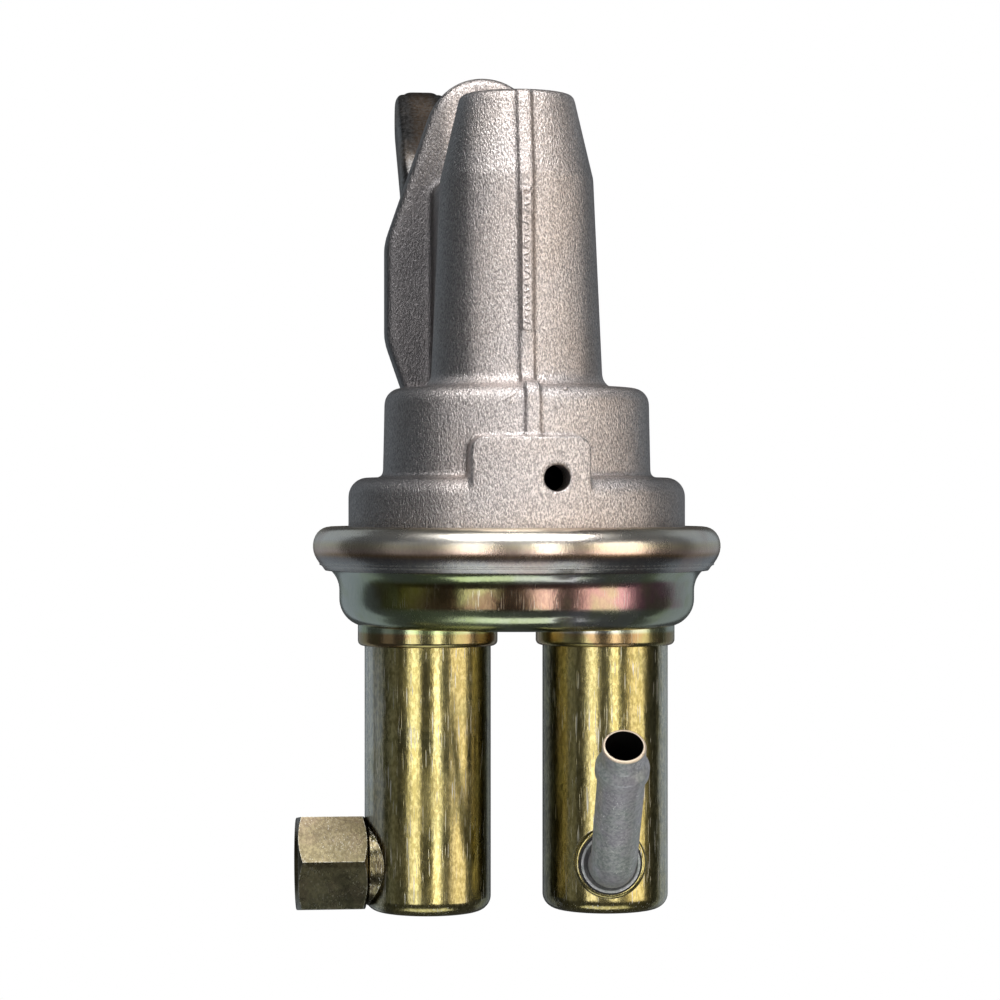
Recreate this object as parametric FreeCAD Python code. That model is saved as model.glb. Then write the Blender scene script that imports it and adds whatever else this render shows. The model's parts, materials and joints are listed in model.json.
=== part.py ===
"""Mechanical fuel pump with a tall arm housing and two fuel cans.

The pump is worked by a rocker arm that reaches out through a two-bolt mounting
flange. The arm's inner fork lifts a rod and a diaphragm, and two spring-loaded
valves pass the fuel from the inlet can to the outlet can.

The pieces are drawn about the diaphragm's own axis, with height 0 in the middle of
the clamped diaphragm, X across the two cans and +Y towards the engine. They are
then moved so that the origin is the centre of the mounting face, +Y points out of
that face and +Z points up. All sizes are millimetres.
"""

import FreeCAD
import Part
import math
import os

Vector = FreeCAD.Vector
X_AXIS = Vector(1, 0, 0)
Y_AXIS = Vector(0, 1, 0)
Z_AXIS = Vector(0, 0, 1)

# Fits and gaps
SNUG = 0.02
RUNNING = 0.06
TOUCH = 0.05
LOOSE = 0.3

# Mounting flange, seen along Y
FLANGE_REACH = 47.0
FLANGE_SHIFT = -2.7
FLANGE_THICK = 8.0
FLANGE_HALF_WIDTH = 21.7
FLANGE_SIDE_HALF = 11.0
FLANGE_SIDE_CORNER = 12.0
FLANGE_EDGE_R = 2.0
LOBE_R = 12.6
BOLT_SPACING = 70.0
BOLT_HOLE_R = 4.35
OPENING_LAND = 1.3
OPENING_HALF_HEIGHT = 21.0
OPENING_CORNER = 2.0

# Turned outside of the casting
RIM_R = 41.3
RIM_THICK = 2.8
RIM_LEDGE = 6.0
LOWER_STEP_HEIGHT = 11.3
LOWER_STEP_CORNER = 4.0
LOWER_STEP_LEDGE = 7.2
UPPER_STEP_HEIGHT = 18.7
UPPER_STEP_TAPER = 0.4
UPPER_STEP_CORNER = 3.5
TOWER_FOOT_R = 18.1
TOWER_FOOT_FILLET = 3.0
TOWER_HEIGHT = 61.6
TOWER_TAPER = 2.0
CONE_HEIGHT = 17.8
CONE_TAPER = 4.2
CONE_EDGE_R = 4.0
TOWER_TOP_CORNER = 1.7
STEP_FILLET = 1.2

# Inside of the casting
LOWER_STEP_WALL = 4.3
LOWER_STEP_ROOF = 3.5
UPPER_STEP_WALL = 4.1
CAVITY_ROOF = 4.6
CAVITY_CORNER = 2.5
CHAMBER_FLOOR_RISE = 2.0
TOWER_WALL = 3.6
TOWER_TOP_WALL = 2.7
TOWER_ROOF = 3.4
NECK_WALL = 3.3
NECK_HALF_WIDTH = 14.3
NECK_CORNER = 4.0
NECK_FILLET = 1.5

# Rib down the front, the bare raised strip on it and the vent pad
RIB_WIDTH = 2.9
RIB_RAISE = 0.9
STRIP_WIDTH = 2.1
STRIP_RAISE = 0.35
STRIP_RISE = 11.0
STRIP_LENGTH = 29.4
PAD_SHIFT = -1.0
PAD_HALF_WIDTH = 12.0
PAD_RISE = 8.1
PAD_CORNER = 2.8
VENT_R = 2.65
VENT_SHIFT = 4.0
VENT_RISE = 11.0

# Rocker arm
PIVOT_FROM_FACE = 19.0
PIVOT_DROP = 6.2
HUB_R = 9.0
ARM_ANGLE = 43.5
ARM_LENGTH = 77.5
ARM_HALF_WIDTH = 6.3
ARM_OFFSET = -13.3
ARM_ROOT_THICK = 13.0
ARM_TIP_THICK = 8.0
PAD_LENGTH = 27.0
PAD_RAISE = 1.8
TIP_TRIM = 0.9
TIP_CORNER = 4.5
JOG_FROM_PIVOT = 14.0
JOG_LENGTH = 16.0
JOG_STAGGER = 3.0
HALF_SWING = 5.0
FORK_SIDE_GAP = 4.0
FORK_UNDER = 3.2
FORK_OVER = 2.8
FORK_NOSE = 6.5
FORK_TO_SPACER = 9.0
FORK_SLOT_HALF = 3.1
CROWN_R = 4.0
CROWN_HALF_WIDTH = 5.2

# Pivot pin and what sits on it
PIN_R = 4.0
PIN_PLUG_R = 5.0
PIN_PLUG_THICK = 1.2
BUSH_WALL = 1.0
SPACER_R = 7.0

# Arm return spring
SEAT_SHEET = 1.0
SEAT_MARGIN = 0.85
RETURN_WIRE_R = 0.75
RETURN_SPRING_GAP = 0.85
RETURN_TURNS = 7

# Pull rod, diaphragm and its spring
ROD_R = 2.5
ROD_TAIL_R = 2.2
ROD_HEAD_GAP = 1.3
ROD_HEAD_THICK = 2.4
ROD_COLLAR_R = 4.0
ROD_COLLAR_THICK = 1.8
RIVET_R = 3.8
RIVET_THICK = 1.1
WASHER_R = 5.5
WASHER_THICK = 0.8
DIAPHRAGM_THICK = 0.8
DIAPHRAGM_CLAMP_MARGIN = 1.5
PROTECTOR_SHEET = 1.0
PROTECTOR_GAP = 3.7
PROTECTOR_MARGIN = 1.7
PROTECTOR_STEP = 0.7
UPPER_PROTECTOR_RIM = 2.6
LOWER_PROTECTOR_RIM = 1.3
DIAPHRAGM_SPRING_GAP = 3.7
DIAPHRAGM_WIRE_R = 1.1
DIAPHRAGM_TURNS = 5

# Oil seal under the arm chamber
SEAL_R = 6.5
SEAL_DEPTH = 3.6
SEAL_LIP = 1.4
RETAINER_MARGIN = 1.9
RETAINER_SHEET = 1.0
RETAINER_HOLE_GAP = 0.9

# Valve body
BODY_RIM_THICK = 1.5
BODY_WALL_GAP = 1.2
BODY_WALL = 2.2
BODY_FLOOR_GAP = 1.25
BODY_FLOOR_THICK = 2.6
BODY_DIVIDER = 3.0
BODY_DIVIDER_GAP = 0.4
VALVE_BOSS_WALL = 2.0
VALVE_BOSS_DROP = 1.2

# One valve, drawn with its seat at height 0 and the disc above it
VALVE_R = 8.3
VALVE_HEIGHT = 7.0
VALVE_SHEET = 0.9
VALVE_SEAT_THICK = 1.4
VALVE_PORT_R = 1.3
VALVE_PORT_CIRCLE = 3.7
VALVE_PORTS = 6
VALVE_STEM_R = 1.0
VALVE_STEM_DROP = 0.2
VALVE_HEAD_R = 2.0
VALVE_HEAD_THICK = 0.7
VALVE_DISC_GAP = 1.6
VALVE_DISC_THICK = 1.3
VALVE_SPRING_R = 1.65
VALVE_WIRE_R = 0.25
VALVE_SPRING_TURNS = 3
VALVE_STAND = 1.8

# Clamped rims: gasket, cover and crimped ring
GASKET_THICK = 0.6
COVER_SHEET = 1.0
COVER_LEDGE = 4.1
GASKET_MARGIN = 1.5
COVER_FLARE_R = 5.5
COVER_DEPTH = 13.1
COVER_CORNER = 5.8
RING_SHEET = 1.1
RING_STAND = 1.5
RING_LIP = 4.0
RING_FOOT = 1.5

# Cans and the necks that hold them
CAN_EDGE = 5.25
CAN_GAP = 11.1
CAN_SHEET = 1.0
CAN_BOTTOM = -76.0
CAN_CORNER = 3.2
CAN_ENTRY = 3.2
NECK_RING_SHEET = 1.4
NECK_DROP = 4.0
NECK_EDGE = 1.1

# Outlet fitting, pointing to -X
HEX_FLATS = 19.05
HEX_LENGTH = 14.3
HEX_TURN = 8.0
HEX_CHAMFER = 1.6
FITTING_RISE = 10.0
SHANK_R = 7.6
SHANK_DEPTH = 3.6
COLLAR_WALL = 1.2
COLLAR_STAND = 0.9
THREAD_R = 7.25
THREAD_LENGTH = 6.8
THREAD_CHAMFER = 1.0
RELIEF_STEP = 0.5
RELIEF_LENGTH = 3.2
FLARE_SEAT_R = 3.6
FLARE_SEAT_HEIGHT = 2.4
OUTLET_PASSAGE_R = 2.4

# Inlet nipple, pointing to -Y and bent up
NIPPLE_R = 4.75
NIPPLE_WALL = 1.05
NIPPLE_RISE = 11.0
NIPPLE_STRAIGHT = 3.6
NIPPLE_BEND_R = 12.0
NIPPLE_ANGLE = 45.0
NIPPLE_TURN = 4.0
NIPPLE_RUN = 33.0
NIPPLE_BEAD_RAISE = 0.65
NIPPLE_BEAD_FROM_END = 5.2
NIPPLE_BEAD_LENGTH = 3.4
NIPPLE_TIP_STEP = 0.4
NIPPLE_LIP = 1.35
NIPPLE_LIP_THICK = 1.0
BOSS_WALL = 1.4
BOSS_STAND = 1.2

# Casting sizes worked out from those above
HALF_CLAMP = DIAPHRAGM_THICK / 2
RIM_TOP = HALF_CLAMP + RIM_THICK
LOWER_STEP_R = RIM_R - RIM_LEDGE
LOWER_STEP_TOP = RIM_TOP + LOWER_STEP_HEIGHT
UPPER_STEP_R = LOWER_STEP_R - LOWER_STEP_LEDGE
UPPER_STEP_TOP = LOWER_STEP_TOP + UPPER_STEP_HEIGHT
TOWER_TOP = UPPER_STEP_TOP + TOWER_HEIGHT
TOWER_CONE_START = TOWER_TOP - CONE_HEIGHT
TOWER_MIDDLE_R = TOWER_FOOT_R - TOWER_TAPER
TOWER_TOP_R = TOWER_MIDDLE_R - CONE_TAPER
CAVITY_LOW_R = LOWER_STEP_R - LOWER_STEP_WALL
CAVITY_LOW_TOP = LOWER_STEP_TOP - LOWER_STEP_ROOF
CAVITY_R = UPPER_STEP_R - UPPER_STEP_WALL
CAVITY_TOP = UPPER_STEP_TOP - CAVITY_ROOF
TOWER_BORE_R = TOWER_MIDDLE_R - TOWER_WALL
TOWER_CEILING_R = TOWER_TOP_R - TOWER_TOP_WALL
CEILING = TOWER_TOP - TOWER_ROOF
CHAMBER_FLOOR = UPPER_STEP_TOP + CHAMBER_FLOOR_RISE
CHAMBER_TOP = CHAMBER_FLOOR + 2 * OPENING_HALF_HEIGHT
FLANGE_RISE = CHAMBER_FLOOR + OPENING_HALF_HEIGHT
FLANGE_FRONT = FLANGE_REACH - FLANGE_THICK
LOBE_RISE = BOLT_SPACING / 2
NECK_INNER_HALF = NECK_HALF_WIDTH - NECK_WALL
OPENING_HALF_WIDTH = NECK_HALF_WIDTH - OPENING_LAND
STRIP_LOW = UPPER_STEP_TOP + STRIP_RISE
PAD_TOP = LOWER_STEP_TOP + PAD_RISE
VENT_HEIGHT = RIM_TOP + VENT_RISE

# Arm, rod and diaphragm sizes worked out
PIVOT_REACH = FLANGE_REACH - PIVOT_FROM_FACE
PIVOT_HEIGHT = FLANGE_RISE - PIVOT_DROP
TIP_REACH = PIVOT_REACH + ARM_LENGTH * math.cos(math.radians(ARM_ANGLE)) - TIP_TRIM
JOG_START = PIVOT_REACH + JOG_FROM_PIVOT
FORK_HALF_WIDTH = TOWER_BORE_R - FORK_SIDE_GAP
FORK_LENGTH = PIVOT_REACH - SPACER_R - FORK_TO_SPACER
FORK_DROP = PIVOT_REACH * math.tan(math.radians(HALF_SWING))
CROWN_HEIGHT = PIVOT_HEIGHT - FORK_DROP
STROKE = 2 * FORK_DROP
RETURN_SPRING_R = TOWER_CEILING_R - RETURN_SPRING_GAP - RETURN_WIRE_R
SEAT_OUTER_R = RETURN_SPRING_R + RETURN_WIRE_R + SEAT_MARGIN
SEAT_INNER_R = RETURN_SPRING_R - RETURN_WIRE_R - SEAT_MARGIN
ROD_HEAD_R = SEAT_INNER_R - ROD_HEAD_GAP
ROD_HEAD_LOW = CROWN_HEIGHT + CROWN_R + TOUCH
DIAPHRAGM_REST = -STROKE / 2
REST_TOP = DIAPHRAGM_REST + HALF_CLAMP
REST_LOW = DIAPHRAGM_REST - HALF_CLAMP
UPPER_PROTECTOR_R = CAVITY_R - PROTECTOR_GAP
LOWER_PROTECTOR_R = UPPER_PROTECTOR_R - PROTECTOR_STEP
DIAPHRAGM_SLOPE_INNER = UPPER_PROTECTOR_R + PROTECTOR_MARGIN
DIAPHRAGM_SLOPE_OUTER = CAVITY_LOW_R - DIAPHRAGM_CLAMP_MARGIN
DIAPHRAGM_SPRING_R = UPPER_PROTECTOR_R - PROTECTOR_SHEET - DIAPHRAGM_SPRING_GAP - DIAPHRAGM_WIRE_R
RETAINER_R = DIAPHRAGM_SPRING_R + DIAPHRAGM_WIRE_R + RETAINER_MARGIN
RETAINER_HOLE_R = ROD_R + RETAINER_HOLE_GAP

# Valve body, cover, ring and can sizes worked out
BODY_RIM_LOW = -HALF_CLAMP - BODY_RIM_THICK
GASKET_LOW = BODY_RIM_LOW - GASKET_THICK
COVER_FLANGE_LOW = GASKET_LOW - COVER_SHEET
COVER_LOW = COVER_FLANGE_LOW - COVER_DEPTH
COVER_WALL_R = RIM_R - COVER_LEDGE
BODY_WALL_R = COVER_WALL_R - COVER_SHEET - BODY_WALL_GAP
RIVET_LOW = REST_LOW - PROTECTOR_SHEET - WASHER_THICK - RIVET_THICK
BODY_FLOOR_TOP = RIVET_LOW - BODY_FLOOR_GAP
VALVE_TOP = BODY_FLOOR_TOP + VALVE_STAND
VALVE_BOSS_LOW = VALVE_TOP - VALVE_HEIGHT - VALVE_BOSS_DROP
VALVE_STEM_HEIGHT = VALVE_HEIGHT - VALVE_SEAT_THICK - VALVE_STEM_DROP
VALVE_DISC_R = VALVE_R - VALVE_SHEET - VALVE_DISC_GAP
RING_R = RIM_R + RING_STAND
RING_LIP_R = RIM_R - RING_LIP
RING_FOOT_R = RIM_R - RING_FOOT
CAN_R = (COVER_WALL_R - CAN_EDGE - CAN_GAP / 2) / 2
CAN_SPACING = 2 * CAN_R + CAN_GAP
CAN_TOP = COVER_LOW - CAN_ENTRY / 2
FITTING_HEIGHT = CAN_BOTTOM + FITTING_RISE
COLLAR_R = SHANK_R + COLLAR_WALL
NIPPLE_HEIGHT = CAN_BOTTOM + NIPPLE_RISE
NIPPLE_BORE_R = NIPPLE_R - NIPPLE_WALL
NIPPLE_BEAD_R = NIPPLE_R + NIPPLE_BEAD_RAISE
NIPPLE_TIP_R = NIPPLE_R - NIPPLE_TIP_STEP
NIPPLE_LIP_R = NIPPLE_R + NIPPLE_LIP
BOSS_R = NIPPLE_LIP_R + BOSS_WALL


def corner_points(corners):
    """Give each corner of a closed outline as its two tangent points and middle."""
    rounded = []
    count = len(corners)
    for index, corner in enumerate(corners):
        point = Vector(corner[0], corner[1], 0)
        radius = corner[2] if len(corner) > 2 else 0
        if radius <= 0:
            rounded.append((point, None, point))
            continue
        before = Vector(*corners[index - 1][:2], 0) - point
        after = Vector(*corners[(index + 1) % count][:2], 0) - point
        before.normalize()
        after.normalize()
        half = before.getAngle(after) / 2
        inward = (before + after).normalize()
        tangent = radius / math.tan(half)
        middle = point + inward * (radius / math.sin(half) - radius)
        rounded.append((point + before * tangent, middle, point + after * tangent))
    return rounded


def outline_face(corners, place):
    """Make a face from corners (u, v, radius); place turns (u, v) into a point."""
    rounded = corner_points(corners)
    edges = []
    for index, (start, middle, end) in enumerate(rounded):
        if middle is not None:
            edges.append(Part.Arc(*[place(p.x, p.y) for p in (start, middle, end)]).toShape())
        following = rounded[(index + 1) % len(rounded)][0]
        if end.distanceToPoint(following) > 1e-6:
            edges.append(Part.makeLine(place(end.x, end.y), place(following.x, following.y)))
    return Part.Face(Part.Wire(edges))


def turned(corners, centre=(0, 0)):
    """Turn an outline of (radius, height) corners about an upright axis."""
    face = outline_face(corners, lambda r, h: Vector(centre[0] + r, centre[1], h))
    return face.revolve(Vector(centre[0], centre[1], 0), Z_AXIS, 360)


def side_plate(corners, low_x, high_x):
    """Give thickness along X to an outline drawn in (y, height)."""
    face = outline_face(corners, lambda y, h: Vector(low_x, y, h))
    return face.extrude(X_AXIS * (high_x - low_x))


def front_plate(corners, low_y, high_y):
    """Give thickness along Y to an outline drawn in (x, height)."""
    face = outline_face(corners, lambda x, h: Vector(x, low_y, h))
    return face.extrude(Y_AXIS * (high_y - low_y))


def plan_plate(corners, low, high):
    """Give height to an outline drawn in (x, y)."""
    face = outline_face(corners, lambda x, y: Vector(x, y, low))
    return face.extrude(Z_AXIS * (high - low))


def box_corners(low_u, high_u, low_v, high_v, radius=0):
    """List the corners of a rectangle, all with one rounding radius."""
    return [
        (low_u, low_v, radius),
        (high_u, low_v, radius),
        (high_u, high_v, radius),
        (low_u, high_v, radius),
    ]


def rod_along_x(radius, low_x, high_x, y, height):
    """Make a round bar that runs along X."""
    return Part.makeCylinder(radius, high_x - low_x, Vector(low_x, y, height), X_AXIS)


def coil(radius, wire_radius, low, high, turns):
    """Wind an upright spring whose wire lies between two heights."""
    climb = high - low - 2 * wire_radius
    path = Part.makeLongHelix(climb / turns, climb, radius)
    outside = Vector(radius + wire_radius, 0, 0)
    inside = Vector(radius - wire_radius, 0, 0)
    halves = [
        Part.Arc(start, Vector(radius, 0, side * wire_radius), end).toShape()
        for start, side, end in ((outside, 1, inside), (inside, -1, outside))
    ]
    spring = Part.Wire(path).makePipeShell([Part.Wire(halves)], True, True)
    spring.translate(Vector(0, 0, low + wire_radius))
    return spring


def casting_outline(extra):
    """List the casting's turned outside; extra stands every surface out by that much."""
    upper_top_r = UPPER_STEP_R - UPPER_STEP_TAPER
    return [
        (0, RIM_TOP),
        (LOWER_STEP_R + extra, RIM_TOP),
        (LOWER_STEP_R + extra, LOWER_STEP_TOP + extra, LOWER_STEP_CORNER),
        (UPPER_STEP_R + extra, LOWER_STEP_TOP + extra, STEP_FILLET),
        (upper_top_r + extra, UPPER_STEP_TOP + extra, UPPER_STEP_CORNER),
        (TOWER_FOOT_R + extra, UPPER_STEP_TOP + extra, TOWER_FOOT_FILLET),
        (TOWER_MIDDLE_R + extra, TOWER_CONE_START, CONE_EDGE_R),
        (TOWER_TOP_R + extra, TOWER_TOP, TOWER_TOP_CORNER),
        (0, TOWER_TOP),
    ]


def casting_cavity():
    """Make the space over the diaphragm, with the pocket for the oil seal."""
    cavity = turned(
        [
            (0, HALF_CLAMP),
            (CAVITY_LOW_R, HALF_CLAMP),
            (CAVITY_LOW_R, CAVITY_LOW_TOP, CAVITY_CORNER),
            (CAVITY_R, CAVITY_LOW_TOP, STEP_FILLET),
            (CAVITY_R, CAVITY_TOP, CAVITY_CORNER),
            (0, CAVITY_TOP),
        ]
    )
    pocket = turned(box_corners(0, SEAL_R, CAVITY_TOP - 1, CAVITY_TOP + SEAL_DEPTH))
    passage = turned(box_corners(0, ROD_R + RUNNING, CAVITY_TOP, CHAMBER_FLOOR + 1))
    return cavity.fuse([pocket, passage])


def arm_chamber():
    """Make the hollow of the tower and neck that the rocker arm works in."""
    bore = turned(
        [
            (0, CHAMBER_FLOOR),
            (TOWER_BORE_R, CHAMBER_FLOOR, 1.0),
            (TOWER_BORE_R, TOWER_CONE_START - TOWER_ROOF),
            (TOWER_CEILING_R, CEILING, 1.0),
            (0, CEILING),
        ]
    )
    neck = front_plate(
        box_corners(-NECK_INNER_HALF, NECK_INNER_HALF, CHAMBER_FLOOR, CHAMBER_TOP, 2.0),
        0,
        FLANGE_FRONT,
    )
    opening = front_plate(
        box_corners(
            -OPENING_HALF_WIDTH,
            OPENING_HALF_WIDTH,
            CHAMBER_FLOOR,
            CHAMBER_TOP,
            OPENING_CORNER,
        ),
        FLANGE_FRONT - 0.01,
        FLANGE_REACH + 1,
    )
    return bore.fuse([neck, opening])


def flange_plate():
    """Make the mounting flange: two bolt lobes joined by straight sides."""
    to_lobe = LOBE_RISE - FLANGE_SIDE_HALF
    distance = math.hypot(FLANGE_HALF_WIDTH, to_lobe)
    slant = math.atan2(FLANGE_HALF_WIDTH, to_lobe) - math.asin(LOBE_R / distance)
    peak = FLANGE_SIDE_HALF + FLANGE_HALF_WIDTH / math.tan(slant)
    corners = [
        (FLANGE_SHIFT, FLANGE_RISE + peak, LOBE_R),
        (FLANGE_SHIFT + FLANGE_HALF_WIDTH, FLANGE_RISE + FLANGE_SIDE_HALF, FLANGE_SIDE_CORNER),
        (FLANGE_SHIFT + FLANGE_HALF_WIDTH, FLANGE_RISE - FLANGE_SIDE_HALF, FLANGE_SIDE_CORNER),
        (FLANGE_SHIFT, FLANGE_RISE - peak, LOBE_R),
        (FLANGE_SHIFT - FLANGE_HALF_WIDTH, FLANGE_RISE - FLANGE_SIDE_HALF, FLANGE_SIDE_CORNER),
        (FLANGE_SHIFT - FLANGE_HALF_WIDTH, FLANGE_RISE + FLANGE_SIDE_HALF, FLANGE_SIDE_CORNER),
    ]
    plate = front_plate(corners, FLANGE_FRONT, FLANGE_REACH)
    front = [
        edge
        for edge in plate.Edges
        if abs(edge.BoundBox.YMin - (FLANGE_FRONT)) < 1e-3
        and abs(edge.BoundBox.YMax - edge.BoundBox.YMin) < 1e-3
    ]
    return plate.makeFillet(FLANGE_EDGE_R, front)


def bolt_holes():
    """Make the two bolt holes through the flange."""
    start = FLANGE_FRONT - 1
    holes = [
        Part.makeCylinder(
            BOLT_HOLE_R,
            FLANGE_THICK + 2,
            Vector(FLANGE_SHIFT, start, FLANGE_RISE + side * LOBE_RISE),
            Y_AXIS,
        )
        for side in (-1, 1)
    ]
    return holes


def neck_and_flange():
    """Make the box-shaped neck and the flange in one, with a fillet between them."""
    low = CHAMBER_FLOOR - NECK_WALL
    high = CHAMBER_TOP + NECK_WALL
    half = NECK_HALF_WIDTH
    neck = front_plate(box_corners(-half, half, low, high, NECK_CORNER), 0, FLANGE_FRONT + 1)
    joined = flange_plate().fuse(neck).removeSplitter()
    round_neck = [
        edge
        for edge in joined.Edges
        if abs(edge.BoundBox.YMin - FLANGE_FRONT) < 1e-3
        and abs(edge.BoundBox.YMax - FLANGE_FRONT) < 1e-3
        and edge.BoundBox.XMin > -half - 0.01
        and edge.BoundBox.XMax < half + 0.01
        and edge.BoundBox.ZMin > low - 0.01
        and edge.BoundBox.ZMax < high + 0.01
    ]
    return joined.makeFillet(NECK_FILLET, round_neck)


def front_rib():
    """Make the rib that runs down the front, and the raised strip on it."""
    raised = turned(casting_outline(RIB_RAISE))
    slice_box = plan_plate(
        box_corners(-RIB_WIDTH / 2, RIB_WIDTH / 2, -LOWER_STEP_R, -TOWER_TOP_R / 2),
        PAD_TOP - 3,
        TOWER_TOP - 0.2,
    )
    strip_form = turned(casting_outline(RIB_RAISE + STRIP_RAISE))
    strip = front_plate(
        box_corners(-STRIP_WIDTH / 2, STRIP_WIDTH / 2, STRIP_LOW, STRIP_LOW + STRIP_LENGTH, STRIP_WIDTH * 0.4),
        -UPPER_STEP_R,
        -TOWER_TOP_R / 2,
    )
    return [raised.common(slice_box), strip_form.common(strip)]


def vent_pad():
    """Make the pad over the vent, flush with the lower step."""
    cylinder = Part.makeCylinder(
        LOWER_STEP_R, PAD_TOP - RIM_TOP, Vector(0, 0, RIM_TOP), Z_AXIS
    )
    front = front_plate(
        box_corners(
            PAD_SHIFT - PAD_HALF_WIDTH,
            PAD_SHIFT + PAD_HALF_WIDTH,
            RIM_TOP - PAD_CORNER,
            PAD_TOP,
            PAD_CORNER,
        ),
        -RIM_R,
        -CAVITY_R,
    )
    return cylinder.common(front)


def upper_casting():
    """Make the die-cast housing: rim, steps, tower, neck, flange, rib and pad."""
    rim = turned(box_corners(0, RIM_R, HALF_CLAMP, RIM_TOP))
    solid = turned(casting_outline(0))
    solid = solid.fuse([rim, neck_and_flange(), vent_pad()] + front_rib())
    solid = solid.cut([casting_cavity(), arm_chamber()] + bolt_holes())
    pin_bore = rod_along_x(
        PIN_R + SNUG, -NECK_HALF_WIDTH - 1, NECK_HALF_WIDTH + 1, PIVOT_REACH, PIVOT_HEIGHT
    )
    plug_seats = [
        rod_along_x(PIN_PLUG_R + SNUG, low, low + PIN_PLUG_THICK + 1, PIVOT_REACH, PIVOT_HEIGHT)
        for low in (-NECK_HALF_WIDTH - 1, NECK_HALF_WIDTH - PIN_PLUG_THICK)
    ]
    vent = Part.makeCylinder(
        VENT_R, LOWER_STEP_R - CAVITY_R + 8, Vector(VENT_SHIFT, -LOWER_STEP_R - 1, VENT_HEIGHT), Y_AXIS
    )
    return solid.cut([pin_bore, vent] + plug_seats).removeSplitter()


def arm_point(along, across):
    """Turn a place on the outer arm into (y, height); across is towards the cam."""
    angle = math.radians(ARM_ANGLE)
    y = PIVOT_REACH + along * math.cos(angle) - across * math.sin(angle)
    return y, PIVOT_HEIGHT + along * math.sin(angle) + across * math.cos(angle)


def fork_point(along, across):
    """Turn a place on the inner arm into (y, height); across is upwards."""
    angle = math.radians(HALF_SWING)
    y = PIVOT_REACH - along * math.cos(angle) - across * math.sin(angle)
    return y, PIVOT_HEIGHT - along * math.sin(angle) + across * math.cos(angle)


def arm_side():
    """Make the side shape of the arm: hub, outer blade with cam pad, and fork."""
    root = ARM_ROOT_THICK / 2
    tip = ARM_TIP_THICK / 2
    pad_from = ARM_LENGTH - PAD_LENGTH
    outer = [
        (*arm_point(0, -root),),
        (*arm_point(ARM_LENGTH, -tip), 3.0),
        (*arm_point(ARM_LENGTH, tip + PAD_RAISE), 4.0),
        (*arm_point(pad_from, tip + PAD_RAISE), 8.0),
        (*arm_point(pad_from - 7, tip), 8.0),
        (*arm_point(0, root),),
    ]
    reach = PIVOT_REACH / math.cos(math.radians(HALF_SWING)) + FORK_NOSE
    inner = [
        (*fork_point(0, HUB_R - 1.5),),
        (*fork_point(reach - FORK_LENGTH - 6, FORK_OVER), 6.0),
        (*fork_point(reach, FORK_OVER), 1.0),
        (*fork_point(reach, -FORK_UNDER), 2.5),
        (*fork_point(reach - FORK_LENGTH - 4, -FORK_UNDER), 6.0),
        (*fork_point(0, -HUB_R + 1),),
    ]
    low_x = ARM_OFFSET - 2 * ARM_HALF_WIDTH
    high_x = 2 * FORK_HALF_WIDTH
    hub = rod_along_x(HUB_R, low_x, high_x, PIVOT_REACH, PIVOT_HEIGHT)
    return side_plate(outer, low_x, high_x).fuse([side_plate(inner, low_x, high_x), hub])


def arm_plan():
    """Make the arm's shape from above, with the sideways jog outside the flange."""
    half = ARM_HALF_WIDTH
    waist = FORK_LENGTH + 5
    jog_end = JOG_START + JOG_LENGTH
    corners = [
        (-FORK_HALF_WIDTH, -FORK_NOSE, 3.0),
        (FORK_HALF_WIDTH, -FORK_NOSE, 3.0),
        (FORK_HALF_WIDTH, FORK_LENGTH, 4.0),
        (half, waist, 4.0),
        (half, JOG_START + JOG_STAGGER, 8.0),
        (ARM_OFFSET + half, jog_end + JOG_STAGGER, 8.0),
        (ARM_OFFSET + half, TIP_REACH, TIP_CORNER),
        (ARM_OFFSET - half, TIP_REACH, TIP_CORNER),
        (ARM_OFFSET - half, jog_end, 8.0),
        (-half, JOG_START, 8.0),
        (-half, waist, 4.0),
        (-FORK_HALF_WIDTH, FORK_LENGTH, 4.0),
    ]
    return plan_plate(corners, CHAMBER_FLOOR, PIVOT_HEIGHT + ARM_LENGTH)


def rocker_arm():
    """Make the forged rocker arm with its bush bore, fork slot and crown."""
    arm = arm_side().common(arm_plan())
    crown = rod_along_x(CROWN_R, -CROWN_HALF_WIDTH, CROWN_HALF_WIDTH, 0, CROWN_HEIGHT)
    bore_r = PIN_R + RUNNING + BUSH_WALL + SNUG
    bore = rod_along_x(bore_r, -2 * HUB_R, 2 * HUB_R, PIVOT_REACH, PIVOT_HEIGHT)
    slot = plan_plate(
        [
            (-FORK_SLOT_HALF, -FORK_NOSE - CROWN_R),
            (FORK_SLOT_HALF, -FORK_NOSE - CROWN_R),
            (FORK_SLOT_HALF, FORK_SLOT_HALF, FORK_SLOT_HALF - 0.01),
            (-FORK_SLOT_HALF, FORK_SLOT_HALF, FORK_SLOT_HALF - 0.01),
        ],
        CROWN_HEIGHT - 3 * CROWN_R,
        CROWN_HEIGHT + 3 * CROWN_R,
    )
    return arm.fuse(crown).cut([bore, slot]).removeSplitter()


def pivot_pin():
    """Make the plain pin that the arm turns on."""
    half = NECK_HALF_WIDTH - PIN_PLUG_THICK - TOUCH
    pin = rod_along_x(PIN_R, -half, half, PIVOT_REACH, PIVOT_HEIGHT)
    ends = [edge for edge in pin.Edges if abs(edge.BoundBox.XMax - edge.BoundBox.XMin) < 1e-3]
    return pin.makeChamfer(0.5, ends)


def pin_plugs():
    """Make the two plugs that close the pin's bore."""
    return Part.makeCompound(
        [
            rod_along_x(PIN_PLUG_R, low, low + PIN_PLUG_THICK, PIVOT_REACH, PIVOT_HEIGHT)
            for low in (-NECK_HALF_WIDTH, NECK_HALF_WIDTH - PIN_PLUG_THICK)
        ]
    )


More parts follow.
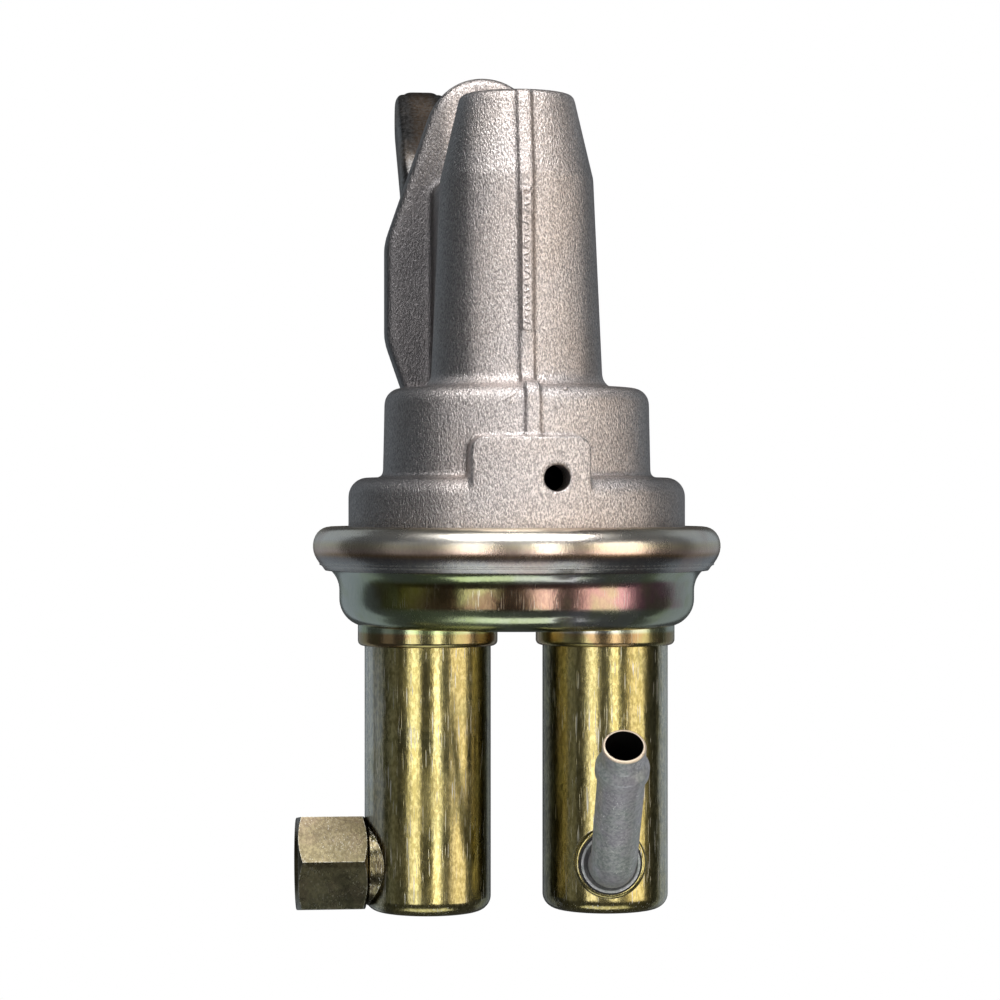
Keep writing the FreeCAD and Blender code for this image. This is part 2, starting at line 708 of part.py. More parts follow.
def ring_along_x(inner, outer, low_x, high_x):
    """Make a plain ring on the pivot's axis."""
    ring = rod_along_x(outer, low_x, high_x, PIVOT_REACH, PIVOT_HEIGHT)
    return ring.cut(rod_along_x(inner, low_x - 1, high_x + 1, PIVOT_REACH, PIVOT_HEIGHT))


def arm_bush():
    """Make the bush pressed into the arm's hub."""
    inner = PIN_R + RUNNING
    return ring_along_x(inner, inner + BUSH_WALL, -ARM_HALF_WIDTH, ARM_HALF_WIDTH)


def pivot_spacers():
    """Make the two spacers between the arm's hub and the neck's walls."""
    low = ARM_HALF_WIDTH + LOOSE / 2
    high = NECK_INNER_HALF - TOUCH
    return Part.makeCompound(
        [
            ring_along_x(PIN_R + RUNNING, SPACER_R, low, high),
            ring_along_x(PIN_R + RUNNING, SPACER_R, -high, -low),
        ]
    )


def spring_seat():
    """Make the washer on the fork that the return spring presses on."""
    angle = HALF_SWING
    seat = turned(box_corners(SEAT_INNER_R, SEAT_OUTER_R, 0, SEAT_SHEET))
    seat.rotate(Vector(0, 0, 0), X_AXIS, angle)
    y, height = fork_point(PIVOT_REACH / math.cos(math.radians(angle)), FORK_OVER)
    seat.translate(Vector(0, y, height))
    return seat


def arm_return_spring():
    """Make the spring that holds the arm's fork down, above it in the tower."""
    tilt = math.radians(HALF_SWING)
    y, height = fork_point(PIVOT_REACH / math.cos(tilt), FORK_OVER + SEAT_SHEET)
    low = height + (RETURN_SPRING_R + RETURN_WIRE_R) * math.tan(tilt) + 2 * TOUCH
    return coil(RETURN_SPRING_R, RETURN_WIRE_R, low, CEILING - TOUCH, RETURN_TURNS)


def pull_rod():
    """Make the rod with the head over the fork and the riveted tail."""
    shoulder = REST_TOP + PROTECTOR_SHEET
    washer_low = RIVET_LOW + RIVET_THICK
    return turned(
        [
            (0, RIVET_LOW),
            (RIVET_R, RIVET_LOW, 0.8),
            (RIVET_R, washer_low),
            (ROD_TAIL_R, washer_low),
            (ROD_TAIL_R, shoulder),
            (ROD_COLLAR_R, shoulder),
            (ROD_COLLAR_R, shoulder + ROD_COLLAR_THICK, 0.6),
            (ROD_R, shoulder + ROD_COLLAR_THICK),
            (ROD_R, ROD_HEAD_LOW),
            (ROD_HEAD_R, ROD_HEAD_LOW),
            (ROD_HEAD_R, ROD_HEAD_LOW + ROD_HEAD_THICK, 1.2),
            (0, ROD_HEAD_LOW + ROD_HEAD_THICK),
        ]
    )


def rod_washer():
    """Make the washer under the riveted end of the rod."""
    high = REST_LOW - PROTECTOR_SHEET
    return turned(box_corners(ROD_TAIL_R + SNUG, WASHER_R, high - WASHER_THICK, high))


def upper_protector():
    """Make the steel cup over the diaphragm, which seats the spring."""
    high = REST_TOP + PROTECTOR_SHEET
    inner = UPPER_PROTECTOR_R - PROTECTOR_SHEET
    return turned(
        [
            (ROD_TAIL_R + SNUG, REST_TOP),
            (UPPER_PROTECTOR_R, REST_TOP, 1.4),
            (UPPER_PROTECTOR_R, REST_TOP + UPPER_PROTECTOR_RIM),
            (inner, REST_TOP + UPPER_PROTECTOR_RIM),
            (inner, high, 0.4),
            (ROD_TAIL_R + SNUG, high),
        ]
    )


def lower_protector():
    """Make the steel cup under the diaphragm."""
    low = REST_LOW - PROTECTOR_SHEET
    inner = LOWER_PROTECTOR_R - PROTECTOR_SHEET
    return turned(
        [
            (ROD_TAIL_R + SNUG, REST_LOW),
            (LOWER_PROTECTOR_R, REST_LOW, 1.2),
            (LOWER_PROTECTOR_R, REST_LOW - LOWER_PROTECTOR_RIM),
            (inner, REST_LOW - LOWER_PROTECTOR_RIM),
            (inner, low, 0.2),
            (ROD_TAIL_R + SNUG, low),
        ]
    )


def diaphragm():
    """Make the diaphragm, clamped flat at its rim and dished down at rest."""
    inner = DIAPHRAGM_SLOPE_INNER
    outer = DIAPHRAGM_SLOPE_OUTER
    return turned(
        [
            (ROD_TAIL_R + SNUG, REST_LOW),
            (inner, REST_LOW, 3.0),
            (outer, -HALF_CLAMP, 3.0),
            (RIM_R, -HALF_CLAMP),
            (RIM_R, HALF_CLAMP),
            (outer, HALF_CLAMP, 3.0),
            (inner, REST_TOP, 3.0),
            (ROD_TAIL_R + SNUG, REST_TOP),
        ]
    )


def diaphragm_spring():
    """Make the spring that pushes the diaphragm down to deliver the fuel."""
    low = REST_TOP + PROTECTOR_SHEET + TOUCH
    high = CAVITY_TOP - RETAINER_SHEET - TOUCH
    return coil(DIAPHRAGM_SPRING_R, DIAPHRAGM_WIRE_R, low, high, DIAPHRAGM_TURNS)


def rod_seal():
    """Make the oil seal round the rod, with a lip on each side."""
    high = CAVITY_TOP + SEAL_DEPTH - TOUCH
    return turned(
        [
            (ROD_R + RUNNING, CAVITY_TOP),
            (SEAL_R - SNUG, CAVITY_TOP),
            (SEAL_R - SNUG, high),
            (ROD_R + RUNNING, high),
            (ROD_R + RUNNING, high - SEAL_LIP / 2),
            (ROD_R + 2 * LOOSE, high - SEAL_LIP),
            (ROD_R + 2 * LOOSE, CAVITY_TOP + SEAL_LIP),
            (ROD_R + RUNNING, CAVITY_TOP + SEAL_LIP / 2),
        ]
    )


def seal_retainer():
    """Make the plate that holds the seal up and seats the diaphragm spring."""
    low = CAVITY_TOP - RETAINER_SHEET
    return turned(box_corners(RETAINER_HOLE_R, RETAINER_R, low, CAVITY_TOP))


def can_places():
    """Give the two centres along X of the cans and of the valves over them, outlet first."""
    return (-CAN_SPACING / 2, CAN_SPACING / 2)


def valve_body():
    """Make the cast body that holds both valves and parts the two fuel sides."""
    floor_low = BODY_FLOOR_TOP - BODY_FLOOR_THICK
    inner = BODY_WALL_R - BODY_WALL
    solid = turned(
        [
            (0, floor_low),
            (BODY_WALL_R, floor_low, 1.0),
            (BODY_WALL_R, BODY_RIM_LOW),
            (RIM_R, BODY_RIM_LOW),
            (RIM_R, -HALF_CLAMP),
            (inner, -HALF_CLAMP, 0.8),
            (inner, BODY_FLOOR_TOP, 1.5),
            (0, BODY_FLOOR_TOP),
        ]
    )
    divider_low = COVER_LOW + COVER_SHEET + BODY_DIVIDER_GAP
    half = BODY_DIVIDER / 2
    reach = COVER_WALL_R - COVER_CORNER
    divider = plan_plate(box_corners(-half, half, -reach, reach), divider_low, BODY_FLOOR_TOP - 1)
    bosses = [
        Part.makeCylinder(
            VALVE_R + VALVE_BOSS_WALL,
            BODY_FLOOR_TOP - 1 - VALVE_BOSS_LOW,
            Vector(x, 0, VALVE_BOSS_LOW),
            Z_AXIS,
        )
        for x in can_places()
    ]
    pockets = [
        Part.makeCylinder(VALVE_R + SNUG, 2 * COVER_DEPTH, Vector(x, 0, COVER_LOW), Z_AXIS)
        for x in can_places()
    ]
    return solid.fuse([divider] + bosses).cut(pockets).removeSplitter()


def valve_seat():
    """Make one valve's pressed cup: ported seat, rim and guide stem."""
    cup = turned(
        [
            (0, -VALVE_SEAT_THICK),
            (VALVE_R, -VALVE_SEAT_THICK, 0.6),
            (VALVE_R, VALVE_HEIGHT - VALVE_SEAT_THICK),
            (VALVE_R - VALVE_SHEET, VALVE_HEIGHT - VALVE_SEAT_THICK),
            (VALVE_R - VALVE_SHEET, 0),
            (VALVE_STEM_R, 0),
            (VALVE_STEM_R, VALVE_STEM_HEIGHT - VALVE_HEAD_THICK),
            (VALVE_HEAD_R, VALVE_STEM_HEIGHT - VALVE_HEAD_THICK),
            (VALVE_HEAD_R, VALVE_STEM_HEIGHT, 0.3),
            (0, VALVE_STEM_HEIGHT),
        ]
    )
    ports = []
    for index in range(VALVE_PORTS):
        angle = 2 * math.pi * index / VALVE_PORTS
        spot = Vector(
            VALVE_PORT_CIRCLE * math.cos(angle), VALVE_PORT_CIRCLE * math.sin(angle), -2 * VALVE_SEAT_THICK
        )
        ports.append(Part.makeCylinder(VALVE_PORT_R, 4 * VALVE_SEAT_THICK, spot, Z_AXIS))
    return cup.cut(ports)


def valve_disc():
    """Make one valve's sealing disc, free to slide on the stem."""
    inner = VALVE_STEM_R + RUNNING
    return turned(box_corners(inner, VALVE_DISC_R, TOUCH, TOUCH + VALVE_DISC_THICK))


def valve_spring():
    """Make one valve's small closing spring."""
    low = VALVE_DISC_THICK + 2 * TOUCH
    high = VALVE_STEM_HEIGHT - VALVE_HEAD_THICK - TOUCH
    return coil(VALVE_SPRING_R, VALVE_WIRE_R, low, high, VALVE_SPRING_TURNS)


def placed_valve(shape, outlet):
    """Put a valve piece in its pocket; the outlet valve stands upside down."""
    if outlet:
        shape.rotate(Vector(0, 0, 0), X_AXIS, 180)
        shape.translate(Vector(can_places()[0], 0, VALVE_TOP - VALVE_SEAT_THICK))
    else:
        shape.translate(Vector(can_places()[1], 0, VALVE_TOP - VALVE_HEIGHT + VALVE_SEAT_THICK))
    return shape


def cover_gasket():
    """Make the ring gasket between the valve body and the cover."""
    return turned(box_corners(COVER_WALL_R + GASKET_MARGIN, RIM_R, GASKET_LOW, BODY_RIM_LOW))


def lower_cover():
    """Make the drawn steel cover with the two necks that hold the cans."""
    past_rim = RIM_R + COVER_FLARE_R
    inner_wall = COVER_WALL_R - COVER_SHEET
    shell = turned(
        [
            (past_rim, COVER_FLANGE_LOW),
            (COVER_WALL_R, COVER_FLANGE_LOW, COVER_FLARE_R),
            (COVER_WALL_R, COVER_LOW, COVER_CORNER),
            (0, COVER_LOW),
            (0, COVER_LOW + COVER_SHEET),
            (inner_wall, COVER_LOW + COVER_SHEET, COVER_CORNER - COVER_SHEET),
            (inner_wall, GASKET_LOW, COVER_FLARE_R + COVER_SHEET),
            (past_rim, GASKET_LOW),
        ]
    )
    shell = shell.common(Part.makeCylinder(RIM_R, 2 * COVER_DEPTH, Vector(0, 0, COVER_LOW - 1), Z_AXIS))
    inner = CAN_R + SNUG
    outer = inner + NECK_RING_SHEET
    for x in can_places():
        neck = turned(
            [
                (inner - 1, COVER_LOW - NECK_DROP),
                (outer, COVER_LOW - NECK_DROP, NECK_EDGE),
                (outer, COVER_LOW + COVER_SHEET / 2),
                (inner - 1, COVER_LOW + COVER_SHEET / 2),
            ],
            (x, 0),
        )
        bore = Part.makeCylinder(inner, 3 * NECK_DROP, Vector(x, 0, COVER_LOW - 2 * NECK_DROP), Z_AXIS)
        shell = shell.fuse(neck).cut(bore)
    return shell.removeSplitter()


def crimp_ring():
    """Make the rolled ring that clamps casting, diaphragm, valve body and cover."""
    inner = RIM_R + TOUCH
    flare_centre = COVER_WALL_R + COVER_FLARE_R
    flare_middle = COVER_FLANGE_LOW - COVER_FLARE_R
    foot = flare_middle + math.sqrt(COVER_FLARE_R**2 - (flare_centre - RING_FOOT_R) ** 2)
    heel = flare_middle + math.sqrt(COVER_FLARE_R**2 - (flare_centre - inner) ** 2)
    return turned(
        [
            (RING_LIP_R, RIM_TOP + TOUCH),
            (inner, RIM_TOP + TOUCH),
            (inner, heel - TOUCH),
            (RING_FOOT_R, foot - TOUCH),
            (RING_FOOT_R - 0.1, foot - RING_SHEET, 0.4),
            (RING_R - 1.0, heel - RING_SHEET + 0.9, 2.0),
            (RING_R, 0.4, 1.6),
            (RING_R - 0.3, RIM_TOP + 0.5, 2.4),
            (RING_R - 3.4, RIM_TOP + RING_SHEET, 2.4),
            (RING_LIP_R, RIM_TOP + RING_SHEET, 0.4),
        ]
    )


def can(x):
    """Make one drawn steel can, open at the top."""
    return turned(
        [
            (0, CAN_BOTTOM),
            (CAN_R, CAN_BOTTOM, CAN_CORNER),
            (CAN_R, CAN_TOP),
            (CAN_R - CAN_SHEET, CAN_TOP),
            (CAN_R - CAN_SHEET, CAN_BOTTOM + CAN_SHEET, CAN_CORNER - CAN_SHEET),
            (0, CAN_BOTTOM + CAN_SHEET),
        ],
        (x, 0),
    )


def along_minus_x(shape):
    """Lay an upright piece so that its height runs from the outlet can to -X."""
    shape.rotate(Vector(0, 0, 0), Y_AXIS, -90)
    shape.translate(Vector(can_places()[0] - CAN_R, 0, FITTING_HEIGHT))
    return shape


def outlet_can():
    """Make the outlet can, with the raised collar that the fitting is fixed in."""
    collar = along_minus_x(
        turned(
            [
                (SHANK_R + SNUG, -CAN_R / 2),
                (COLLAR_R, -CAN_R / 2),
                (COLLAR_R, COLLAR_STAND - CAN_SHEET, 0.7),
                (SHANK_R + SNUG, COLLAR_STAND - CAN_SHEET),
            ]
        )
    )
    inside = Part.makeCylinder(CAN_R - CAN_SHEET, -CAN_BOTTOM, Vector(can_places()[0], 0, CAN_BOTTOM), Z_AXIS)
    bore = along_minus_x(Part.makeCylinder(SHANK_R + SNUG, CAN_R, Vector(0, 0, -CAN_R / 2)))
    return can(can_places()[0]).fuse(collar.cut(inside)).cut(bore).removeSplitter()


def outlet_fitting():
    """Make the hexagon fitting with its threaded socket and flare seat."""
    corner_r = HEX_FLATS / math.sqrt(3)
    face = Part.Face(
        Part.makePolygon(
            [
                Vector(corner_r * math.cos(k * math.pi / 3), corner_r * math.sin(k * math.pi / 3), 0)
                for k in range(7)
            ]
        )
    )
    hexagon = face.extrude(Z_AXIS * HEX_LENGTH)
    slope = HEX_CHAMFER * math.tan(math.radians(30))
    barrel = turned(
        [
            (0, 0),
            (corner_r - HEX_CHAMFER, 0),
            (corner_r + 0.2, slope),
            (corner_r + 0.2, HEX_LENGTH - slope),
            (corner_r - HEX_CHAMFER, HEX_LENGTH),
            (0, HEX_LENGTH),
        ]
    )
    shank = turned(box_corners(0, SHANK_R, -SHANK_DEPTH, 1))
    thread_top = HEX_LENGTH - THREAD_CHAMFER
    thread_low = thread_top - THREAD_LENGTH
    bottom = thread_low - RELIEF_LENGTH
    relief_r = THREAD_R + RELIEF_STEP
    socket = turned(
        [
            (0, bottom),
            (OUTLET_PASSAGE_R, bottom + FLARE_SEAT_HEIGHT),
            (FLARE_SEAT_R, bottom + FLARE_SEAT_HEIGHT),
            (relief_r, bottom),
            (relief_r, thread_low - RELIEF_STEP),
            (THREAD_R, thread_low),
            (THREAD_R, thread_top),
            (THREAD_R + THREAD_CHAMFER, HEX_LENGTH),
            (0, HEX_LENGTH),
        ]
    )
    passage = turned(box_corners(0, OUTLET_PASSAGE_R, -2 * SHANK_DEPTH, HEX_LENGTH))
    fitting = hexagon.common(barrel).fuse(shank).cut([socket, passage])
    fitting.rotate(Vector(0, 0, 0), Z_AXIS, 90 + HEX_TURN)
    return along_minus_x(fitting).removeSplitter()


def nipple_path():
    """Give the nipple's centre line: out to -Y, round the bend and up to its mouth."""
    x = can_places()[1]
    angle = math.radians(NIPPLE_ANGLE)
    start = Vector(x, -CAN_R + 2 * CAN_SHEET, NIPPLE_HEIGHT)
    bend_in = Vector(x, -CAN_R - NIPPLE_STRAIGHT, NIPPLE_HEIGHT)
    centre = bend_in + Vector(0, 0, NIPPLE_BEND_R)
    middle = centre + Vector(0, -math.sin(angle / 2), -math.cos(angle / 2)) * NIPPLE_BEND_R
    bend_out = centre + Vector(0, -math.sin(angle), -math.cos(angle)) * NIPPLE_BEND_R
    way = Vector(0, -math.cos(angle), math.sin(angle))
    return start, bend_in, middle, bend_out, way


def nipple_tube(radius, run):
    """Sweep a round bar of one radius along the nipple's centre line."""
    start, bend_in, middle, bend_out, way = nipple_path()
    edges = [
        Part.makeLine(start, bend_in),
        Part.Arc(bend_in, middle, bend_out).toShape(),
        Part.makeLine(bend_out, bend_out + way * run),
    ]
    section = Part.Wire(Part.makeCircle(radius, start, Y_AXIS))
    return Part.Wire(edges).makePipeShell([section], True, True)


def turned_to_nipple(shape):
    """Turn a shape about the inlet can's axis to the side that the nipple points to."""
    shape.rotate(Vector(can_places()[1], 0, 0), Z_AXIS, -NIPPLE_TURN)
    return shape


def inlet_nipple():
    """Make the hose nipple: bent tube, bead, tip and the lip at its foot."""
    bend_out, way = nipple_path()[3:]
    bead_low = NIPPLE_RUN - NIPPLE_BEAD_FROM_END
    end = turned(
        [
            (0, bead_low - NIPPLE_BEAD_LENGTH - 1.5),
            (NIPPLE_R, bead_low - NIPPLE_BEAD_LENGTH - 1.5),
            (NIPPLE_R, bead_low - NIPPLE_BEAD_LENGTH),
            (NIPPLE_BEAD_R, bead_low - NIPPLE_BEAD_LENGTH + 0.6, 0.4),
            (NIPPLE_BEAD_R, bead_low - 0.8, 0.8),
            (NIPPLE_TIP_R, bead_low + 1.2, 0.8),
            (NIPPLE_TIP_R, NIPPLE_RUN, 0.4),
            (0, NIPPLE_RUN),
        ]
    )
    end.rotate(Vector(0, 0, 0), X_AXIS, 90 - NIPPLE_ANGLE)
    end.translate(bend_out)
    x = can_places()[1]
    lip = Part.makeCylinder(
        NIPPLE_LIP_R, NIPPLE_LIP_THICK, Vector(x, -CAN_R - BOSS_STAND, NIPPLE_HEIGHT), -Y_AXIS
    )
    foot = Part.makeCylinder(
        NIPPLE_LIP_R, BOSS_STAND + 2 * CAN_SHEET, Vector(x, -CAN_R + 2 * CAN_SHEET, NIPPLE_HEIGHT), -Y_AXIS
    )
    bar = nipple_tube(NIPPLE_R, NIPPLE_RUN - NIPPLE_BEAD_FROM_END - NIPPLE_BEAD_LENGTH)
    bore = nipple_tube(NIPPLE_BORE_R, NIPPLE_RUN + 1)
    return turned_to_nipple(bar.fuse([end, lip, foot]).cut(bore).removeSplitter())


def inlet_can():
    """Make the inlet can, with the raised boss round the nipple's foot."""
    x = can_places()[1]
    start = Vector(x, -CAN_R / 2, NIPPLE_HEIGHT)
    boss = Part.makeCylinder(BOSS_R, CAN_R / 2 + BOSS_STAND, start, -Y_AXIS)
    rim = [
        edge
        for edge in boss.Edges
        if abs(edge.BoundBox.YMax + CAN_R + BOSS_STAND) < 1e-3
    ]
    boss = boss.makeFillet(0.9, rim)
    inside = Part.makeCylinder(CAN_R - CAN_SHEET, -CAN_BOTTOM, Vector(x, 0, CAN_BOTTOM), Z_AXIS)
    bore = Part.makeCylinder(NIPPLE_LIP_R + SNUG, CAN_R, start, -Y_AXIS)
    return turned_to_nipple(can(x).fuse(boss.cut(inside)).cut(bore).removeSplitter())


PIECES = {
    "upper_casting": upper_casting,
    "rocker_arm": rocker_arm,
    "pivot_pin": pivot_pin,
    "pin_plugs": pin_plugs,
    "arm_bush": arm_bush,
    "pivot_spacers": pivot_spacers,
    "spring_seat": spring_seat,
    "arm_return_spring": arm_return_spring,
    "pull_rod": pull_rod,
    "rod_washer": rod_washer,
    "upper_protector": upper_protector,
    "lower_protector": lower_protector,
    "diaphragm": diaphragm,
    "diaphragm_spring": diaphragm_spring,
    "rod_seal": rod_seal,
    "seal_retainer": seal_retainer,
    "valve_body": valve_body,
    "inlet_valve_seat": lambda: placed_valve(valve_seat(), False),
    "inlet_valve_disc": lambda: placed_valve(valve_disc(), False),
    "inlet_valve_spring": lambda: placed_valve(valve_spring(), False),
    "outlet_valve_seat": lambda: placed_valve(valve_seat(), True),
    "outlet_valve_disc": lambda: placed_valve(valve_disc(), True),
    "outlet_valve_spring": lambda: placed_valve(valve_spring(), True),
    "cover_gasket": cover_gasket,
    "lower_cover": lower_cover,
    "crimp_ring": crimp_ring,
    "outlet_can": outlet_can,
    "outlet_fitting": outlet_fitting,
    "inlet_can": inlet_can,
    "inlet_nipple": inlet_nipple,
}

os.makedirs("parts", exist_ok=True)
to_flange = Vector(-FLANGE_SHIFT, -FLANGE_REACH, -FLANGE_RISE)
for name, make in PIECES.items():
    piece = make()
    piece.translate(to_flange)
    piece.exportStep(f"parts/{name}.step")
    print(f"{name}: {len(piece.Solids)} solid, {piece.Volume:.0f} mm3, valid {piece.isValid()}")
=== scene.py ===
"""Mechanical fuel pump in a plain pale studio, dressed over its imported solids.

The pump's solids are loaded as a fixed frame. The casting and the arm are taken over
by softened copies with the rounded edges of real castings and forgings, small things
that the solids leave out are modelled here, and every piece gets its own finish.
Lengths are metres and places are in the row's frame, except where a comment or a
description says millimetres.
"""

import json
import logging
import math
from collections.abc import Callable, Sequence
from dataclasses import dataclass, field
from enum import Enum

import bmesh
import bpy
from mathutils import Matrix, Vector
from mathutils.bvhtree import BVHTree

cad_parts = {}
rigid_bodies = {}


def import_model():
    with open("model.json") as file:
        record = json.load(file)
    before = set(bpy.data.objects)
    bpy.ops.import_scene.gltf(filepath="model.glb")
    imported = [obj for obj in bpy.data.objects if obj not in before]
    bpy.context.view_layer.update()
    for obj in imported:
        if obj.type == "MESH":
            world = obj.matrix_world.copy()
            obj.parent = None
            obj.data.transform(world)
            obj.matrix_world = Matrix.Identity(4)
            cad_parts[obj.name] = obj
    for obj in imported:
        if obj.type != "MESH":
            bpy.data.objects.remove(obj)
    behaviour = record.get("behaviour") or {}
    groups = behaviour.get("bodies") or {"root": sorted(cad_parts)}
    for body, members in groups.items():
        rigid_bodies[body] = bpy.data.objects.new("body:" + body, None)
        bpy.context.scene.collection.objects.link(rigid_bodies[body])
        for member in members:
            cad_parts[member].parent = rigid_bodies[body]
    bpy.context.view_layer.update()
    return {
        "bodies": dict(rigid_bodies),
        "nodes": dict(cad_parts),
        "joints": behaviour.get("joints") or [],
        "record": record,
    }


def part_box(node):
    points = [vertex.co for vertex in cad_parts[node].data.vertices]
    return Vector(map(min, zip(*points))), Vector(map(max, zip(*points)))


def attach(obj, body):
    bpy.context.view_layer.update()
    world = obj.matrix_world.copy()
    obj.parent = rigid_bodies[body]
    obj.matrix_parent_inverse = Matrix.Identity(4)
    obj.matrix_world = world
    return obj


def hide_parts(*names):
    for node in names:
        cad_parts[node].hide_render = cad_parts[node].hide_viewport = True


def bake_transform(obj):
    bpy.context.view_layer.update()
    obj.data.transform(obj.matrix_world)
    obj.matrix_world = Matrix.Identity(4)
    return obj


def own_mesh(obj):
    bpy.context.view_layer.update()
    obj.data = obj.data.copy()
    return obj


LOG = logging.getLogger("fuel_pump")
MM = 0.001

# The diaphragm's axis and the height of the clamped diaphragm, in the row's frame
AXIS_X = 2.7 * MM
AXIS_Y = -47.0 * MM
CLAMP_Z = -56.2 * MM

# The cans, the cover's necks, the ring and the outlet fitting
CAN_OFFSET = 18.75 * MM
CAN_R = 13.2 * MM
NECK_TOP = -73.5 * MM
RING_LOW = -61.2 * MM
RING_TOP = -51.9 * MM
COVER_R = 37.0 * MM
FITTING_Z = -122.2 * MM
FITTING_R = 10.5 * MM
COLLAR_X = -25.8 * MM

# The nipple, turned a little about its can: where it leaves the can, where its bend
# ends, and the two directions that it runs in
NIPPLE_TURN = math.radians(-4.0)
NIPPLE_RUN = 33.0 * MM
NIPPLE_CAN = Matrix.Translation((AXIS_X + CAN_OFFSET, AXIS_Y, CLAMP_Z)) @ Matrix.Rotation(NIPPLE_TURN, 4, "Z")
NIPPLE_FOOT = NIPPLE_CAN @ Vector((0, -14.45 * MM, -65.0 * MM))
NIPPLE_BEND = NIPPLE_CAN @ Vector((0, -25.285 * MM, -61.485 * MM))
FOOT_WAY = NIPPLE_CAN.to_3x3() @ Vector((0, -1, 0))
NIPPLE_WAY = NIPPLE_CAN.to_3x3() @ Vector((0, -1, 1)).normalized()

# The middle of the arm's outer blade, and where the arm's softer end begins
ARM_BLADE_X = -10.6 * MM
ARM_SOFT_Y = -4.0 * MM

Colour = tuple[float, float, float]
Socket = bpy.types.NodeSocket
Wire = Socket | float | Sequence[float]
Span = tuple[float, float]
Stops = tuple[tuple[float, Colour], ...]


class Body(Enum):
    """Name the bodies that pieces ride on."""

    HOUSING = "housing"
    ARM = "arm"
    ROD = "rod"


def stack_point(x: float, y: float, height: float) -> Vector:
    """Place a point given about the diaphragm's axis.

    Args:
        x: Millimetres across the two cans.
        y: Millimetres towards the engine.
        height: Millimetres above the clamped diaphragm.

    Returns:
        The point in the row's frame, in metres.
    """
    return Vector((AXIS_X + x * MM, AXIS_Y + y * MM, CLAMP_Z + height * MM))


def clamped(value: float) -> float:
    """Keep a value between 0 and 1."""
    return min(max(value, 0), 1)


def shown(name: str, data: bpy.types.ID) -> bpy.types.Object:
    """Make an object of a mesh, light or camera and put it in the scene.

    Args:
        name: Its name.
        data: What it is made of.

    Returns:
        The object.
    """
    made = bpy.data.objects.new(name, data)
    bpy.context.scene.collection.objects.link(made)
    return made


def worked_out(piece: bpy.types.Object) -> bpy.types.Mesh:
    """Give a piece's mesh with its modifiers carried out."""
    graph = bpy.context.evaluated_depsgraph_get()
    return bpy.data.meshes.new_from_object(piece.evaluated_get(graph))


